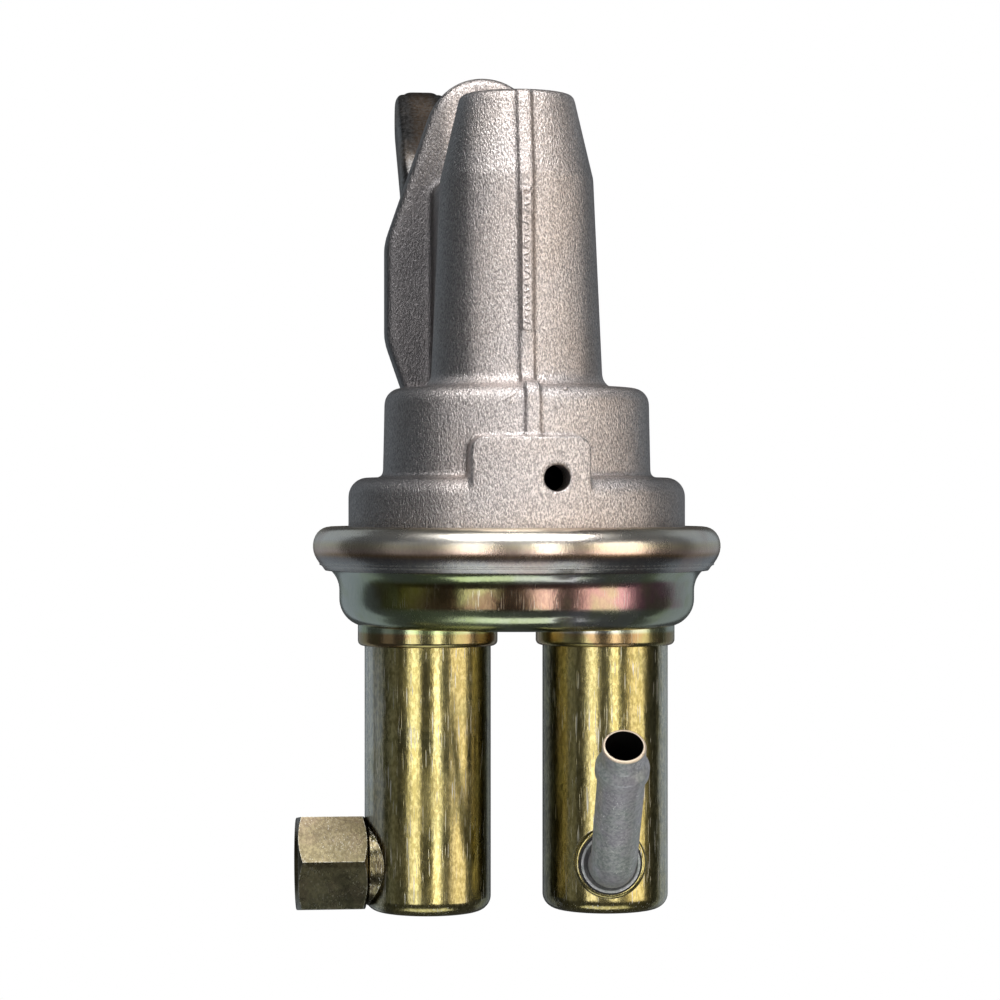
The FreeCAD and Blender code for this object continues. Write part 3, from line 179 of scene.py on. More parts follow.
class NodeSheet:
    """Lay out shader nodes in one tree and wire them together."""

    def __init__(self, tree: bpy.types.NodeTree) -> None:
        """Keep the tree that the nodes go into."""
        self.tree = tree

    def add(self, kind: str, **settings: object) -> bpy.types.Node:
        """Add a node.

        Args:
            kind: The node's type.
            settings: Properties of the node, by name.

        Returns:
            The new node.
        """
        node = self.tree.nodes.new(kind)
        for name, value in settings.items():
            setattr(node, name, value)
        return node

    def own(self, kind: str) -> bpy.types.Node:
        """Give the node of one type that the tree came with."""
        return next(node for node in self.tree.nodes if node.type == kind)

    def feed(self, socket: Socket, value: Wire) -> None:
        """Wire a socket into another, or set its plain value.

        Args:
            socket: The input that is fed.
            value: An output, a number, or a colour or vector.
        """
        if isinstance(value, bpy.types.NodeSocket):
            self.tree.links.new(value, socket)
        elif isinstance(value, (int, float)):
            socket.default_value = value
        elif len(value) == 3 and len(socket.default_value) == 4:
            socket.default_value = (*value, 1.0)
        else:
            socket.default_value = value

    def place(self) -> Socket:
        """Give the piece's own coordinates."""
        return self.add("ShaderNodeTexCoord").outputs["Object"]

    def stretched(self, vector: Wire, scale: Sequence[float], turn: Sequence[float] = (0, 0, 0)) -> Socket:
        """Scale and turn coordinates, so that a pattern runs along one direction.

        Args:
            vector: The coordinates.
            scale: The scale along each axis.
            turn: The turn about each axis, in radians.

        Returns:
            The changed coordinates.
        """
        node = self.add("ShaderNodeMapping")
        self.feed(node.inputs["Vector"], vector)
        node.inputs["Scale"].default_value = scale
        node.inputs["Rotation"].default_value = turn
        return node.outputs["Vector"]

    def noise(self, vector: Wire, scale: Wire, detail: float = 2.0, rough: float = 0.5) -> Socket:
        """Add cloud noise.

        Args:
            vector: The coordinates.
            scale: Features per metre.
            detail: How many finer layers it has.
            rough: How strong the finer layers are.

        Returns:
            The noise, around 0.5.
        """
        node = self.add("ShaderNodeTexNoise")
        self.feed(node.inputs["Vector"], vector)
        self.feed(node.inputs["Scale"], scale)
        node.inputs["Detail"].default_value = detail
        node.inputs["Roughness"].default_value = rough
        return node.outputs["Fac"]

    def cells(self, vector: Wire, scale: Wire) -> Socket:
        """Add cell noise.

        Args:
            vector: The coordinates.
            scale: Cells per metre.

        Returns:
            The distance to each cell's middle.
        """
        node = self.add("ShaderNodeTexVoronoi")
        self.feed(node.inputs["Vector"], vector)
        self.feed(node.inputs["Scale"], scale)
        return node.outputs["Distance"]

    def sums(self, operation: str, first: Wire, second: Wire = 0.0, third: Wire = 0.0) -> Socket:
        """Work out one value from up to three others.

        Args:
            operation: What is done with them.
            first: The first value.
            second: The second value.
            third: The third value.

        Returns:
            The result.
        """
        node = self.add("ShaderNodeMath", operation=operation)
        for socket, value in zip(node.inputs, (first, second, third)):
            self.feed(socket, value)
        return node.outputs[0]

    def times(self, first: Wire, second: Wire) -> Socket:
        """Multiply two values."""
        return self.sums("MULTIPLY", first, second)

    def larger(self, first: Wire, second: Wire) -> Socket:
        """Give the larger of two values."""
        return self.sums("MAXIMUM", first, second)

    def off(self, vector: Wire, name: str, middle: float) -> Socket:
        """Give how far one coordinate lies from a middle, to either side."""
        return self.sums("ABSOLUTE", self.sums("SUBTRACT", self.axis(vector, name), middle))

    def fit(self, value: Wire, low: float, high: float, to_low: Wire = 0.0, to_high: Wire = 1.0) -> Socket:
        """Fit a range of values smoothly onto another.

        Args:
            value: The value to fit.
            low: The value that gives to_low.
            high: The value that gives to_high.
            to_low: The result at and below low.
            to_high: The result at and above high.

        Returns:
            The fitted value.
        """
        node = self.add("ShaderNodeMapRange", interpolation_type="SMOOTHSTEP")
        for name, number in (
            ("Value", value),
            ("From Min", low),
            ("From Max", high),
            ("To Min", to_low),
            ("To Max", to_high),
        ):
            self.feed(node.inputs[name], number)
        return node.outputs["Result"]

    def fit_straight(self, value: Wire, low: float, high: float) -> Socket:
        """Fit a range of values onto 0 to 1 in a straight line.

        Args:
            value: The value to fit.
            low: The value that gives 0.
            high: The value that gives 1.

        Returns:
            The fitted value.
        """
        node = self.add("ShaderNodeMapRange")
        for name, number in (("Value", value), ("From Min", low), ("From Max", high)):
            self.feed(node.inputs[name], number)
        return node.outputs["Result"]

    def ramp(self, factor: Wire, stops: Stops) -> Socket:
        """Turn a value into a colour.

        Args:
            factor: The value, 0 to 1.
            stops: Places along the ramp and their colours.

        Returns:
            The colour.
        """
        node = self.add("ShaderNodeValToRGB")
        elements = node.color_ramp.elements
        while len(elements) < len(stops):
            elements.new(0.5)
        for element, (position, colour) in zip(elements, stops):
            element.position = position
            element.color = (*colour, 1.0)
        self.feed(node.inputs["Fac"], factor)
        return node.outputs["Color"]

    def blend(self, factor: Wire, under: Wire, over: Wire, mode: str = "MIX") -> Socket:
        """Mix two colours.

        Args:
            factor: How much of the second colour shows.
            under: The first colour.
            over: The second colour.
            mode: How they mix.

        Returns:
            The mixed colour.
        """
        node = self.add("ShaderNodeMix", data_type="RGBA", blend_type=mode)
        self.feed(node.inputs[0], factor)
        self.feed(node.inputs[6], under)
        self.feed(node.inputs[7], over)
        return node.outputs[2]

    def vectors(
        self, operation: str, first: Wire, second: Wire = (0, 0, 0), output: str = "Vector"
    ) -> Socket:
        """Work out a vector or a number from two vectors.

        Args:
            operation: What is done with them.
            first: The first vector.
            second: The second vector.
            output: "Vector", or "Value" for a number.

        Returns:
            The result.
        """
        node = self.add("ShaderNodeVectorMath", operation=operation)
        self.feed(node.inputs[0], first)
        self.feed(node.inputs[1], second)
        return node.outputs[output]

    def axis(self, vector: Wire, name: str) -> Socket:
        """Give one coordinate.

        Args:
            vector: The coordinates.
            name: The coordinate's letter.

        Returns:
            The coordinate.
        """
        node = self.add("ShaderNodeSeparateXYZ")
        self.feed(node.inputs[0], vector)
        return node.outputs[name]

    def about(self, place: Socket, origin: Vector, way: Vector) -> tuple[Socket, Socket]:
        """Place the coordinates about an axis.

        Args:
            place: The coordinates.
            origin: A point on the axis.
            way: The axis's direction.

        Returns:
            The distance from the axis, and the distance along it from the point.
        """
        offset = self.vectors("SUBTRACT", place, tuple(origin))
        beside = self.vectors("CROSS_PRODUCT", offset, tuple(way))
        radius = self.vectors("LENGTH", beside, output="Value")
        return radius, self.vectors("DOT_PRODUCT", offset, tuple(way), output="Value")

    def bump(self, height: Wire, depth: float, strength: float = 1.0, over: Socket | None = None) -> Socket:
        """Make a surface uneven.

        Args:
            height: The unevenness, 0 to 1.
            depth: The depth that 1 stands for, in metres.
            strength: How strongly it shows.
            over: A normal that it adds to.

        Returns:
            The new normal.
        """
        node = self.add("ShaderNodeBump")
        node.inputs["Distance"].default_value = depth
        node.inputs["Strength"].default_value = strength
        self.feed(node.inputs["Height"], height)
        if over is not None:
            self.feed(node.inputs["Normal"], over)
        return node.outputs["Normal"]

    def effect(self, group: bpy.types.NodeTree, **values: Wire) -> bpy.types.Node:
        """Place a shared effect.

        Args:
            group: The effect's node group.
            values: Its inputs, with _ for each space in a name.

        Returns:
            The placed effect, whose outputs are read by name.
        """
        node = self.add("ShaderNodeGroup", node_tree=group)
        for name, value in values.items():
            self.feed(node.inputs[name.replace("_", " ")], value)
        return node


class Effects:
    """Hold the effects that several finishes share, each made once."""

    def __init__(self) -> None:
        """Make every shared effect."""
        self.wear = self.edge_wear()
        self.grain = self.sand_grain()
        self.scratches = self.fine_scratches()
        self.plating = self.plating_clouds()

    @staticmethod
    def start(
        name: str, inputs: dict[str, float | None], outputs: Sequence[str]
    ) -> tuple[NodeSheet, bpy.types.Node, bpy.types.Node]:
        """Open a new group with its sockets.

        Args:
            name: The group's name.
            inputs: The inputs and their usual values; None is a vector.
            outputs: The outputs, which are all numbers.

        Returns:
            The group's sheet, its input node and its output node.
        """
        tree = bpy.data.node_groups.new(name, "ShaderNodeTree")
        for label, usual in inputs.items():
            kind = "NodeSocketVector" if usual is None else "NodeSocketFloat"
            socket = tree.interface.new_socket(name=label, in_out="INPUT", socket_type=kind)
            if usual is not None:
                socket.default_value = usual
        for label in outputs:
            tree.interface.new_socket(name=label, in_out="OUTPUT", socket_type="NodeSocketFloat")
        sheet = NodeSheet(tree)
        return sheet, sheet.add("NodeGroupInput"), sheet.add("NodeGroupOutput")

    def edge_wear(self) -> bpy.types.NodeTree:
        """Make the mask of worn edges: where a rounded normal leaves the true one.

        Returns:
            The effect's group.
        """
        sheet, given, result = self.start(
            "edge wear", {"Place": None, "Radius": 0.0006, "Breakup": 900.0}, ["Mask"]
        )
        rounded = sheet.add("ShaderNodeBevel", samples=6)
        sheet.feed(rounded.inputs["Radius"], given.outputs["Radius"])
        facing = sheet.add("ShaderNodeNewGeometry").outputs["Normal"]
        match = sheet.add("ShaderNodeVectorMath", operation="DOT_PRODUCT")
        sheet.feed(match.inputs[0], rounded.outputs["Normal"])
        sheet.feed(match.inputs[1], facing)
        leaving = sheet.fit(match.outputs["Value"], 0.995, 0.86)
        patches = sheet.noise(given.outputs["Place"], given.outputs["Breakup"], 3.0)
        broken = sheet.fit(patches, 0.35, 0.62)
        sheet.feed(result.inputs["Mask"], sheet.times(leaving, broken))
        return sheet.tree

    def sand_grain(self) -> bpy.types.NodeTree:
        """Make the grain that a blasted mould leaves on a die casting.

        Returns:
            The effect's group.
        """
        sheet, given, result = self.start(
            "sand grain", {"Place": None, "Size": 2300.0}, ["Height", "Tone", "Spark"]
        )
        size = given.outputs["Size"]
        place = sheet.stretched(given.outputs["Place"], (1.0, 1.0, 0.55), (0.0, 0.62, 0.0))
        coarse = sheet.noise(place, size, 2.5, 0.62)
        fine = sheet.noise(place, sheet.times(size, 2.1), 1.0)
        pits = sheet.cells(place, sheet.times(size, 0.62))
        height = sheet.sums("MULTIPLY_ADD", fine, 0.35, sheet.sums("MULTIPLY_ADD", pits, 0.4, coarse))
        sheet.feed(result.inputs["Height"], height)
        sheet.feed(result.inputs["Tone"], sheet.fit(coarse, 0.34, 0.66))
        sheet.feed(result.inputs["Spark"], sheet.fit(sheet.times(coarse, fine), 0.29, 0.36))
        return sheet.tree

    def fine_scratches(self) -> bpy.types.NodeTree:
        """Make short straight scratches that run two ways.

        Returns:
            The effect's group.
        """
        sheet, given, result = self.start(
            "fine scratches", {"Place": None, "Length": 1.0, "Amount": 0.5}, ["Mask"]
        )
        place = given.outputs["Place"]
        masks = []
        for turn in ((0.35, 0.5, 0.2), (-0.5, 0.25, 1.1)):
            along = sheet.stretched(place, (4200.0, 4200.0, 150.0), turn)
            lines = sheet.fit(sheet.noise(along, given.outputs["Length"], 0.0), 0.70, 0.76)
            turned = sheet.stretched(place, (1, 1, 1), turn)
            patches = sheet.fit(sheet.noise(turned, 130.0, 1.0), 0.45, 0.62)
            masks.append(sheet.times(lines, patches))
        both = sheet.larger(masks[0], masks[1])
        sheet.feed(result.inputs["Mask"], sheet.times(both, given.outputs["Amount"]))
        return sheet.tree

    def plating_clouds(self) -> bpy.types.NodeTree:
        """Make the clouds, streaks and speckle of a dipped plating.

        Returns:
            The effect's group.
        """
        sheet, given, result = self.start(
            "plating clouds", {"Place": None, "Cloud Size": 60.0}, ["Cloud", "Streak", "Speckle"]
        )
        place = given.outputs["Place"]
        sheet.feed(result.inputs["Cloud"], sheet.noise(place, given.outputs["Cloud Size"], 3.0, 0.55))
        drawn = sheet.stretched(place, (560.0, 560.0, 20.0))
        sheet.feed(result.inputs["Streak"], sheet.noise(drawn, 1.0, 3.0, 0.65))
        grainy = sheet.stretched(place, (1500.0, 1500.0, 800.0))
        sheet.feed(result.inputs["Speckle"], sheet.noise(grainy, 1.0, 2.0, 0.7))
        return sheet.tree


@dataclass(frozen=True)
class Finish:
    """Describe one finish by the record's slot that it is for."""

    slot: str

    def dress(self, sheet: NodeSheet, surface: bpy.types.Node, effects: Effects) -> None:
        """Wire the finish into the surface shader."""
        raise NotImplementedError

    def material(self, effects: Effects) -> bpy.types.Material:
        """Make the material.

        Args:
            effects: The shared effects.

        Returns:
            The finished material.
        """
        material = bpy.data.materials.new(self.slot)
        material.use_nodes = True
        sheet = NodeSheet(material.node_tree)
        self.dress(sheet, sheet.own("BSDF_PRINCIPLED"), effects)
        return material


@dataclass(frozen=True)
class CastAluminium(Finish):
    """Blasted die-cast aluminium with a warm grey grain."""

    dark: Colour = (0.40, 0.37, 0.365)
    light: Colour = (0.90, 0.83, 0.81)
    spark: Colour = (1.0, 0.96, 0.93)
    stain: Colour = (1.0, 0.90, 0.80)
    back_shade: Colour = (0.24, 0.225, 0.23)
    # The dark colour of the painted shade on the outer sides of tower and steps and on the neck
    painted_shade: Colour = (0.12, 0.123, 0.13)
    grain_size: float = 3300.0
    depth: float = 0.00022
    rough: float = 0.34
    # Where the painted shade begins and where it is full: heights and depths in the row's frame,
    # distances from the diaphragm's axis, and how dark each side gets
    tower_foot: Span = (-0.0225, -0.0195)
    tower_left: Span = (-0.0092, -0.0128)
    tower_right: Span = (0.0108, 0.0142)
    step_left: Span = (-0.0145, -0.0225)
    step_right: Span = (0.0205, 0.0265)
    tower_dark: Span = (0.66, 0.5)
    step_dark: Span = (0.62, 0.5)
    flange_front: Span = (-0.012, -0.007)
    flange_light: Span = (0.010, 0.040)
    neck_front: Span = (-0.040, -0.036)
    neck_back: Span = (-0.0098, -0.0108)

    def side_shade(self, sheet: NodeSheet, place: Socket) -> Socket:
        """Work out how far painted shade darkens the outer sides of tower and steps.

        Args:
            sheet: Where its nodes go.
            place: The coordinates.

        Returns:
            The share of painted shade.
        """
        # Painted shade: the outer sides of tower and steps are darkened as if turned away from the light
        across = sheet.sums("SUBTRACT", sheet.axis(place, "X"), AXIS_X)
        tower = sheet.fit(sheet.axis(place, "Z"), *self.tower_foot)
        tower_left = sheet.fit(across, *self.tower_left, 0.0, self.tower_dark[0])
        tower_right = sheet.fit(across, *self.tower_right, 0.0, self.tower_dark[1])
        step_left = sheet.fit(across, *self.step_left, 0.0, self.step_dark[0])
        step_right = sheet.fit(across, *self.step_right, 0.0, self.step_dark[1])
        upper = sheet.times(tower, sheet.larger(tower_left, tower_right))
        lower = sheet.times(sheet.sums("SUBTRACT", 1.0, tower), sheet.larger(step_left, step_right))
        return sheet.sums("ADD", upper, lower)

    def dress(self, sheet: NodeSheet, surface: bpy.types.Node, effects: Effects) -> None:
        """Wire grain, stains, bright edges and painted shade into the surface shader.

        Args:
            sheet: Where its nodes go.
            surface: The surface shader.
            effects: The shared effects.
        """
        place = sheet.place()
        grain = sheet.effect(effects.grain, Place=place, Size=self.grain_size)
        wear = sheet.effect(effects.wear, Place=place, Radius=0.0005, Breakup=1300.0)
        stain = sheet.fit(sheet.noise(place, 55.0, 3.0), 0.3, 0.7)
        body = sheet.blend(grain.outputs["Tone"], self.dark, self.light)
        warm = sheet.blend(sheet.times(stain, 0.4), body, self.stain, "MULTIPLY")
        lit = sheet.blend(sheet.times(grain.outputs["Spark"], 0.8), warm, self.spark)
        edge = sheet.times(wear.outputs["Mask"], 0.5)
        # Painted shade: the flange's face behind the tower darkens towards its lower part
        behind = sheet.fit(sheet.axis(place, "Y"), *self.flange_front)
        shade = sheet.fit(sheet.axis(place, "Z"), *self.flange_light, 0.66, 0.0)
        edged = sheet.blend(edge, lit, self.spark)
        shaded = sheet.blend(sheet.times(behind, shade), edged, self.back_shade)
        # Painted shadow: the neck between tower and flange is darkened where the tower shades it
        neck = sheet.times(
            sheet.fit(sheet.axis(place, "Y"), *self.neck_front),
            sheet.fit(sheet.axis(place, "Y"), *self.neck_back),
        )
        dim = sheet.larger(sheet.times(neck, 0.85), self.side_shade(sheet, place))
        sheet.feed(surface.inputs["Base Color"], sheet.blend(dim, shaded, self.painted_shade))
        surface.inputs["Metallic"].default_value = 1.0
        rough = sheet.fit(grain.outputs["Tone"], 0.0, 1.0, self.rough + 0.08, self.rough - 0.06)
        sheet.feed(surface.inputs["Roughness"], rough)
        waves = sheet.bump(sheet.noise(place, 140.0, 2.0), 0.0002, 0.4)
        sheet.feed(surface.inputs["Normal"], sheet.bump(grain.outputs["Height"], self.depth, 0.9, waves))


@dataclass(frozen=True)
class YellowZinc(Finish):
    """Yellow chromated zinc plate: a run of colours, which carries painted reflections and shade as well as
    the plating's tint, with streaks, clouds and scratches.
    """

    stops: Stops = ()
    low: float = 0.0
    high: float = 1.0
    wander: float = 0.004
    cloud_size: float = 60.0
    streaks: float = 0.5
    tint: Colour = (0.42, 0.30, 0.30)
    tint_share: float = 0.35
    dull: Colour = (0.12, 0.10, 0.035)
    fleck: Colour = (0.70, 0.62, 0.34)
    fleck_share: float = 0.3
    rough: float = 0.2
    scratched: float = 0.5
    waves: float = 0.1
    bare: Colour = (0.74, 0.73, 0.66)

    def run(self, sheet: NodeSheet, place: Socket) -> Socket:
        """Give the value that the run of colours follows; here the height."""
        return sheet.axis(place, "Z")

    def metal(self, sheet: NodeSheet, place: Socket) -> Wire:
        """Give how metallic the plating looks; the cans' outer sides are made less so."""
        return 1.0

    def base(self, sheet: NodeSheet, place: Socket, shift: Socket) -> Socket:
        """Give the run of colours, plating tint with painted reflections and shade, before streaks and
        scratches.

        Args:
            sheet: Where its nodes go.
            place: The coordinates.
            shift: How far the run of colours wanders here.

        Returns:
            The colour.
        """
        run = sheet.sums("ADD", self.run(sheet, place), shift)
        past_low = sheet.sums("SUBTRACT", run, self.low)
        return sheet.ramp(sheet.sums("DIVIDE", past_low, self.high - self.low), self.stops)

    def dress(self, sheet: NodeSheet, surface: bpy.types.Node, effects: Effects) -> None:
        """Wire the plating's colours, streaks and scratches into the surface shader.

        Args:
            sheet: Where its nodes go.
            surface: The surface shader.
            effects: The shared effects.
        """
        place = sheet.place()
        clouds = sheet.effect(effects.plating, Place=place, Cloud_Size=self.cloud_size)
        scratches = sheet.effect(effects.scratches, Place=place, Amount=self.scratched)
        wear = sheet.effect(effects.wear, Place=place, Radius=0.0004, Breakup=1700.0)
        shift = sheet.sums("MULTIPLY_ADD", clouds.outputs["Cloud"], 2 * self.wander, -self.wander)
        base = self.base(sheet, place, shift)
        patch = sheet.fit(sheet.noise(place, self.cloud_size * 1.7, 2.0), 0.48, 0.66)
        tinted = sheet.blend(sheet.times(patch, self.tint_share), base, self.tint)
        streak = sheet.fit(clouds.outputs["Streak"], 0.44, 0.66)
        streaked = sheet.blend(sheet.times(streak, self.streaks), tinted, self.dull)
        speck = sheet.fit(clouds.outputs["Speckle"], 0.38, 0.64)
        speckled = sheet.blend(self.fleck_share, streaked, sheet.blend(speck, self.dull, self.fleck))
        bare = sheet.larger(scratches.outputs["Mask"], sheet.times(wear.outputs["Mask"], 0.6))
        sheet.feed(surface.inputs["Base Color"], sheet.blend(bare, speckled, self.bare))
        sheet.feed(surface.inputs["Metallic"], self.metal(sheet, place))
        surface.inputs["Coat Weight"].default_value = 0.2
        surface.inputs["Coat Roughness"].default_value = 0.16
        uneven = sheet.fit(clouds.outputs["Cloud"], 0.3, 0.7, self.rough - 0.04, self.rough + 0.08)
        sheet.feed(surface.inputs["Roughness"], sheet.sums("MULTIPLY_ADD", bare, 0.2, uneven))
        waves = sheet.bump(clouds.outputs["Streak"], 0.00008, self.waves)
        fine = sheet.bump(clouds.outputs["Speckle"], 0.000035, 0.5, waves)
        sheet.feed(surface.inputs["Normal"], sheet.bump(scratches.outputs["Mask"], -0.00002, 0.5, fine))


@dataclass(frozen=True)
class CanZinc(YellowZinc):
    """The cans' plating: gold with painted reflection bands in the middle, a painted pale grey reflection at
    the outer sides, and painted shade between the cans.
    """

    collar_edge: Span = (0.0106, 0.0096)
    collar_fade: float = 0.001
    # The collar's painted dark reflection
    collar_dark_reflection: Colour = (0.06, 0.042, 0.036)
    outer_gap: float = 0.0006
    # Where the painted pale grey reflection at the outer sides is made less metallic
    outer_dull_start: Span = (0.82, 0.88)
    outer_dull_end: Span = (0.985, 0.98)

    def run(self, sheet: NodeSheet, place: Socket) -> Socket:
        """Give 0 at each can's inner side and 1 at its outer side."""
        off = sheet.off(place, "X", AXIS_X)
        return sheet.fit_straight(off, CAN_OFFSET - CAN_R, CAN_OFFSET + CAN_R + self.outer_gap)

    def collar(self, sheet: NodeSheet, place: Socket) -> Socket:
        """Make the mask of the collar that carries the outlet fitting.

        Args:
            sheet: Where its nodes go.
            place: The coordinates.

        Returns:
            The mask, 1 on the collar.
        """
        from_axis = sheet.vectors("SUBTRACT", place, (0.0, AXIS_Y, FITTING_Z))
        upright = sheet.vectors("MULTIPLY", from_axis, (0.0, 1.0, 1.0))
        radius = sheet.vectors("LENGTH", upright, output="Value")
        outside = sheet.fit(sheet.axis(place, "X"), COLLAR_X + self.collar_fade, COLLAR_X)
        return sheet.times(sheet.fit(radius, *self.collar_edge), outside)

    def base(self, sheet: NodeSheet, place: Socket, shift: Socket) -> Socket:
        """Give the can's run of colours, with the collar painted nearly black as a dark reflection."""
        run = super().base(sheet, place, shift)
        return sheet.blend(self.collar(sheet, place), run, self.collar_dark_reflection)

    def metal(self, sheet: NodeSheet, place: Socket) -> Wire:
        """Dull the outer sides, whose pale grey is a painted reflection, but not the collar beyond them.

        Args:
            sheet: Where its nodes go.
            place: The coordinates.

        Returns:
            How metallic the plating looks.
        """
        run = self.run(sheet, place)
        dull = sheet.times(sheet.fit(run, *self.outer_dull_start), sheet.fit(run, *self.outer_dull_end))
        bare = sheet.times(dull, sheet.sums("SUBTRACT", 1.0, self.collar(sheet, place)))
        return sheet.sums("MULTIPLY_ADD", bare, -0.33, 1.0)


@dataclass(frozen=True)
class CoverZinc(YellowZinc):
    """The cover's plating: grey green, with a painted reflection of gold and pink in a band round its wall.
    """

    # The painted reflection band: its colours, the heights that it spans and where it fades at the sides
    band: Stops = ()
    band_low: float = 0.0
    band_high: float = 1.0
    band_sides: Span = (0.034, 0.028)
    neck: Colour = (0.40, 0.27, 0.13)
    neck_fade: float = 0.0008

    def base(self, sheet: NodeSheet, place: Socket, shift: Socket) -> Socket:
        """Give the grey green body, the band of painted reflection and the gold necks.

        Args:
            sheet: Where its nodes go.
            place: The coordinates.
            shift: How far the run of colours wanders here.

        Returns:
            The colour.
        """
        across = sheet.sums("ADD", sheet.axis(place, "X"), shift)
        share = sheet.fit_straight(across, self.low, self.high)
        body = sheet.ramp(share, self.stops)
        band = sheet.ramp(share, self.band)
        height = sheet.axis(place, "Z")
        below = sheet.fit(height, self.band_low - 0.0009, self.band_low + 0.0003)
        above = sheet.fit(height, self.band_high + 0.0005, self.band_high - 0.0005)
        off = sheet.sums("ABSOLUTE", sheet.sums("SUBTRACT", across, AXIS_X))
        sides = sheet.fit(off, *self.band_sides)
        inside = sheet.times(sides, sheet.times(below, above))
        banded = sheet.blend(inside, body, band)
        necks = sheet.fit(height, NECK_TOP, NECK_TOP - self.neck_fade)
        return sheet.blend(necks, banded, self.neck)


@dataclass(frozen=True)
class PlainMetal(Finish):
    """A plain metal with light clouding, worn edges and scratches."""

    colour: Colour = (0.4, 0.4, 0.4)
    second: Colour = (0.3, 0.3, 0.3)
    worn: Colour = (0.7, 0.7, 0.7)
    cloud_size: float = 90.0
    fine_size: float = 1400.0
    rough: float = 0.35
    depth: float = 0.00004
    scratched: float = 0.3
    metal: float = 1.0

    def colours(self, sheet: NodeSheet, place: Socket, cloud: Socket) -> Socket:
        """Give the metal's own colour, before wear and scratches."""
        return sheet.blend(cloud, self.colour, self.second)

    def over(self, sheet: NodeSheet, place: Socket, colour: Socket) -> Socket:
        """Give the colour with what lies over the wear; here nothing."""
        return colour

    def dress(self, sheet: NodeSheet, surface: bpy.types.Node, effects: Effects) -> None:
        """Wire clouds, wear and scratches into the surface shader.

        Args:
            sheet: Where its nodes go.
            surface: The surface shader.
            effects: The shared effects.
        """
        place = sheet.place()
        cloud = sheet.fit(sheet.noise(place, self.cloud_size, 4.0, 0.6), 0.35, 0.65)
        fine = sheet.noise(place, self.fine_size, 2.0, 0.6)
        scratches = sheet.effect(effects.scratches, Place=place, Amount=self.scratched)
        wear = sheet.effect(effects.wear, Place=place, Radius=0.0005, Breakup=1500.0)
        base = self.colours(sheet, place, cloud)
        mottled = sheet.blend(sheet.fit(fine, 0.35, 0.65, 0.0, 0.3), base, self.worn)
        bare = sheet.larger(scratches.outputs["Mask"], sheet.times(wear.outputs["Mask"], 0.7))
        worn = sheet.blend(bare, mottled, self.worn)
        sheet.feed(surface.inputs["Base Color"], self.over(sheet, place, worn))
        surface.inputs["Metallic"].default_value = self.metal
        rough = sheet.fit(cloud, 0.0, 1.0, self.rough - 0.05, self.rough + 0.08)
        sheet.feed(surface.inputs["Roughness"], rough)
        sheet.feed(surface.inputs["Normal"], sheet.bump(fine, self.depth, 0.6))


@dataclass(frozen=True)
class NippleZinc(PlainMetal):
    """The nipple's dull plating, with painted shade inside the bore and round the foot, and a painted
    highlight on the mouth's rim.
    """

    # The painted shade inside the bore and round the foot
    bore: Colour = (0.008, 0.007, 0.006)
    # The painted highlight on the mouth's rim, gold tinted
    rim: Colour = (0.72, 0.58, 0.42)
    bore_edge: Span = (0.00385, 0.00372)
    bore_start: Span = (0.0, 0.004)
    foot_edge: Span = (0.00575, 0.0055)
    foot_end: Span = (0.0017, 0.0009)

    def over(self, sheet: NodeSheet, place: Socket, colour: Socket) -> Socket:
        """Paint shade into the bore and round the foot, and a highlight on the mouth's rim.

        Args:
            sheet: Where its nodes go.
            place: The coordinates.
            colour: The colour so far.

        Returns:
            The changed colour.
        """
        radius, along = sheet.about(place, NIPPLE_BEND, NIPPLE_WAY)
        inside = sheet.times(sheet.fit(radius, *self.bore_edge), sheet.fit(along, *self.bore_start))
        end = sheet.fit(along, NIPPLE_RUN - 0.0005, NIPPLE_RUN - 0.0002)
        foot_radius, past = sheet.about(place, NIPPLE_FOOT, FOOT_WAY)
        near = sheet.times(sheet.fit(past, *self.foot_end), sheet.fit(foot_radius, *self.foot_edge))
        # Painted highlight on the rim, then painted shade in the bore and round the foot
        highlighted = sheet.blend(sheet.times(end, 0.8), colour, self.rim)
        return sheet.blend(sheet.larger(inside, sheet.times(near, 0.85)), highlighted, self.bore)


@dataclass(frozen=True)
class WornForging(PlainMetal):
    """The arm's dark steel, rubbed brown along the middle of its blade."""

    rubbed: Colour = (0.27, 0.19, 0.13)
    rubbed_sides: Span = (0.0042, 0.0012)
    rubbed_heights: Span = (0.026, 0.038)

    def colours(self, sheet: NodeSheet, place: Socket, cloud: Socket) -> Socket:
        """Give the dark steel with the brown rubbed zone.

        Args:
            sheet: Where its nodes go.
            place: The coordinates.
            cloud: The clouding, 0 to 1.

        Returns:
            The colour.
        """
        base = sheet.blend(cloud, self.colour, self.second)
        beside = sheet.fit(sheet.off(place, "X", ARM_BLADE_X), *self.rubbed_sides)
        middle = sheet.times(beside, sheet.fit(sheet.axis(place, "Z"), *self.rubbed_heights))
        return sheet.blend(sheet.times(middle, 0.8), base, self.rubbed)


@dataclass(frozen=True)
class SoftSheet(Finish):
    """Rubber, fabric-backed rubber or fibre: dull, finely grained."""

    colour: Colour = (0.03, 0.03, 0.03)
    second: Colour = (0.05, 0.05, 0.05)
    grain_size: float = 1600.0
    rough: float = 0.75

    def dress(self, sheet: NodeSheet, surface: bpy.types.Node, effects: Effects) -> None:
        """Wire the grain into the surface shader.

        Args:
            sheet: Where its nodes go.
            surface: The surface shader.
            effects: The shared effects, which stay unused here.
        """
        place = sheet.place()
        grain = sheet.noise(place, self.grain_size, 3.0, 0.6)
        colour = sheet.blend(sheet.fit(grain, 0.35, 0.65), self.colour, self.second)
        sheet.feed(surface.inputs["Base Color"], colour)
        rough = sheet.fit(grain, 0.3, 0.7, self.rough - 0.1, self.rough + 0.1)
        sheet.feed(surface.inputs["Roughness"], rough)
        sheet.feed(surface.inputs["Normal"], sheet.bump(grain, 0.00006, 0.6))
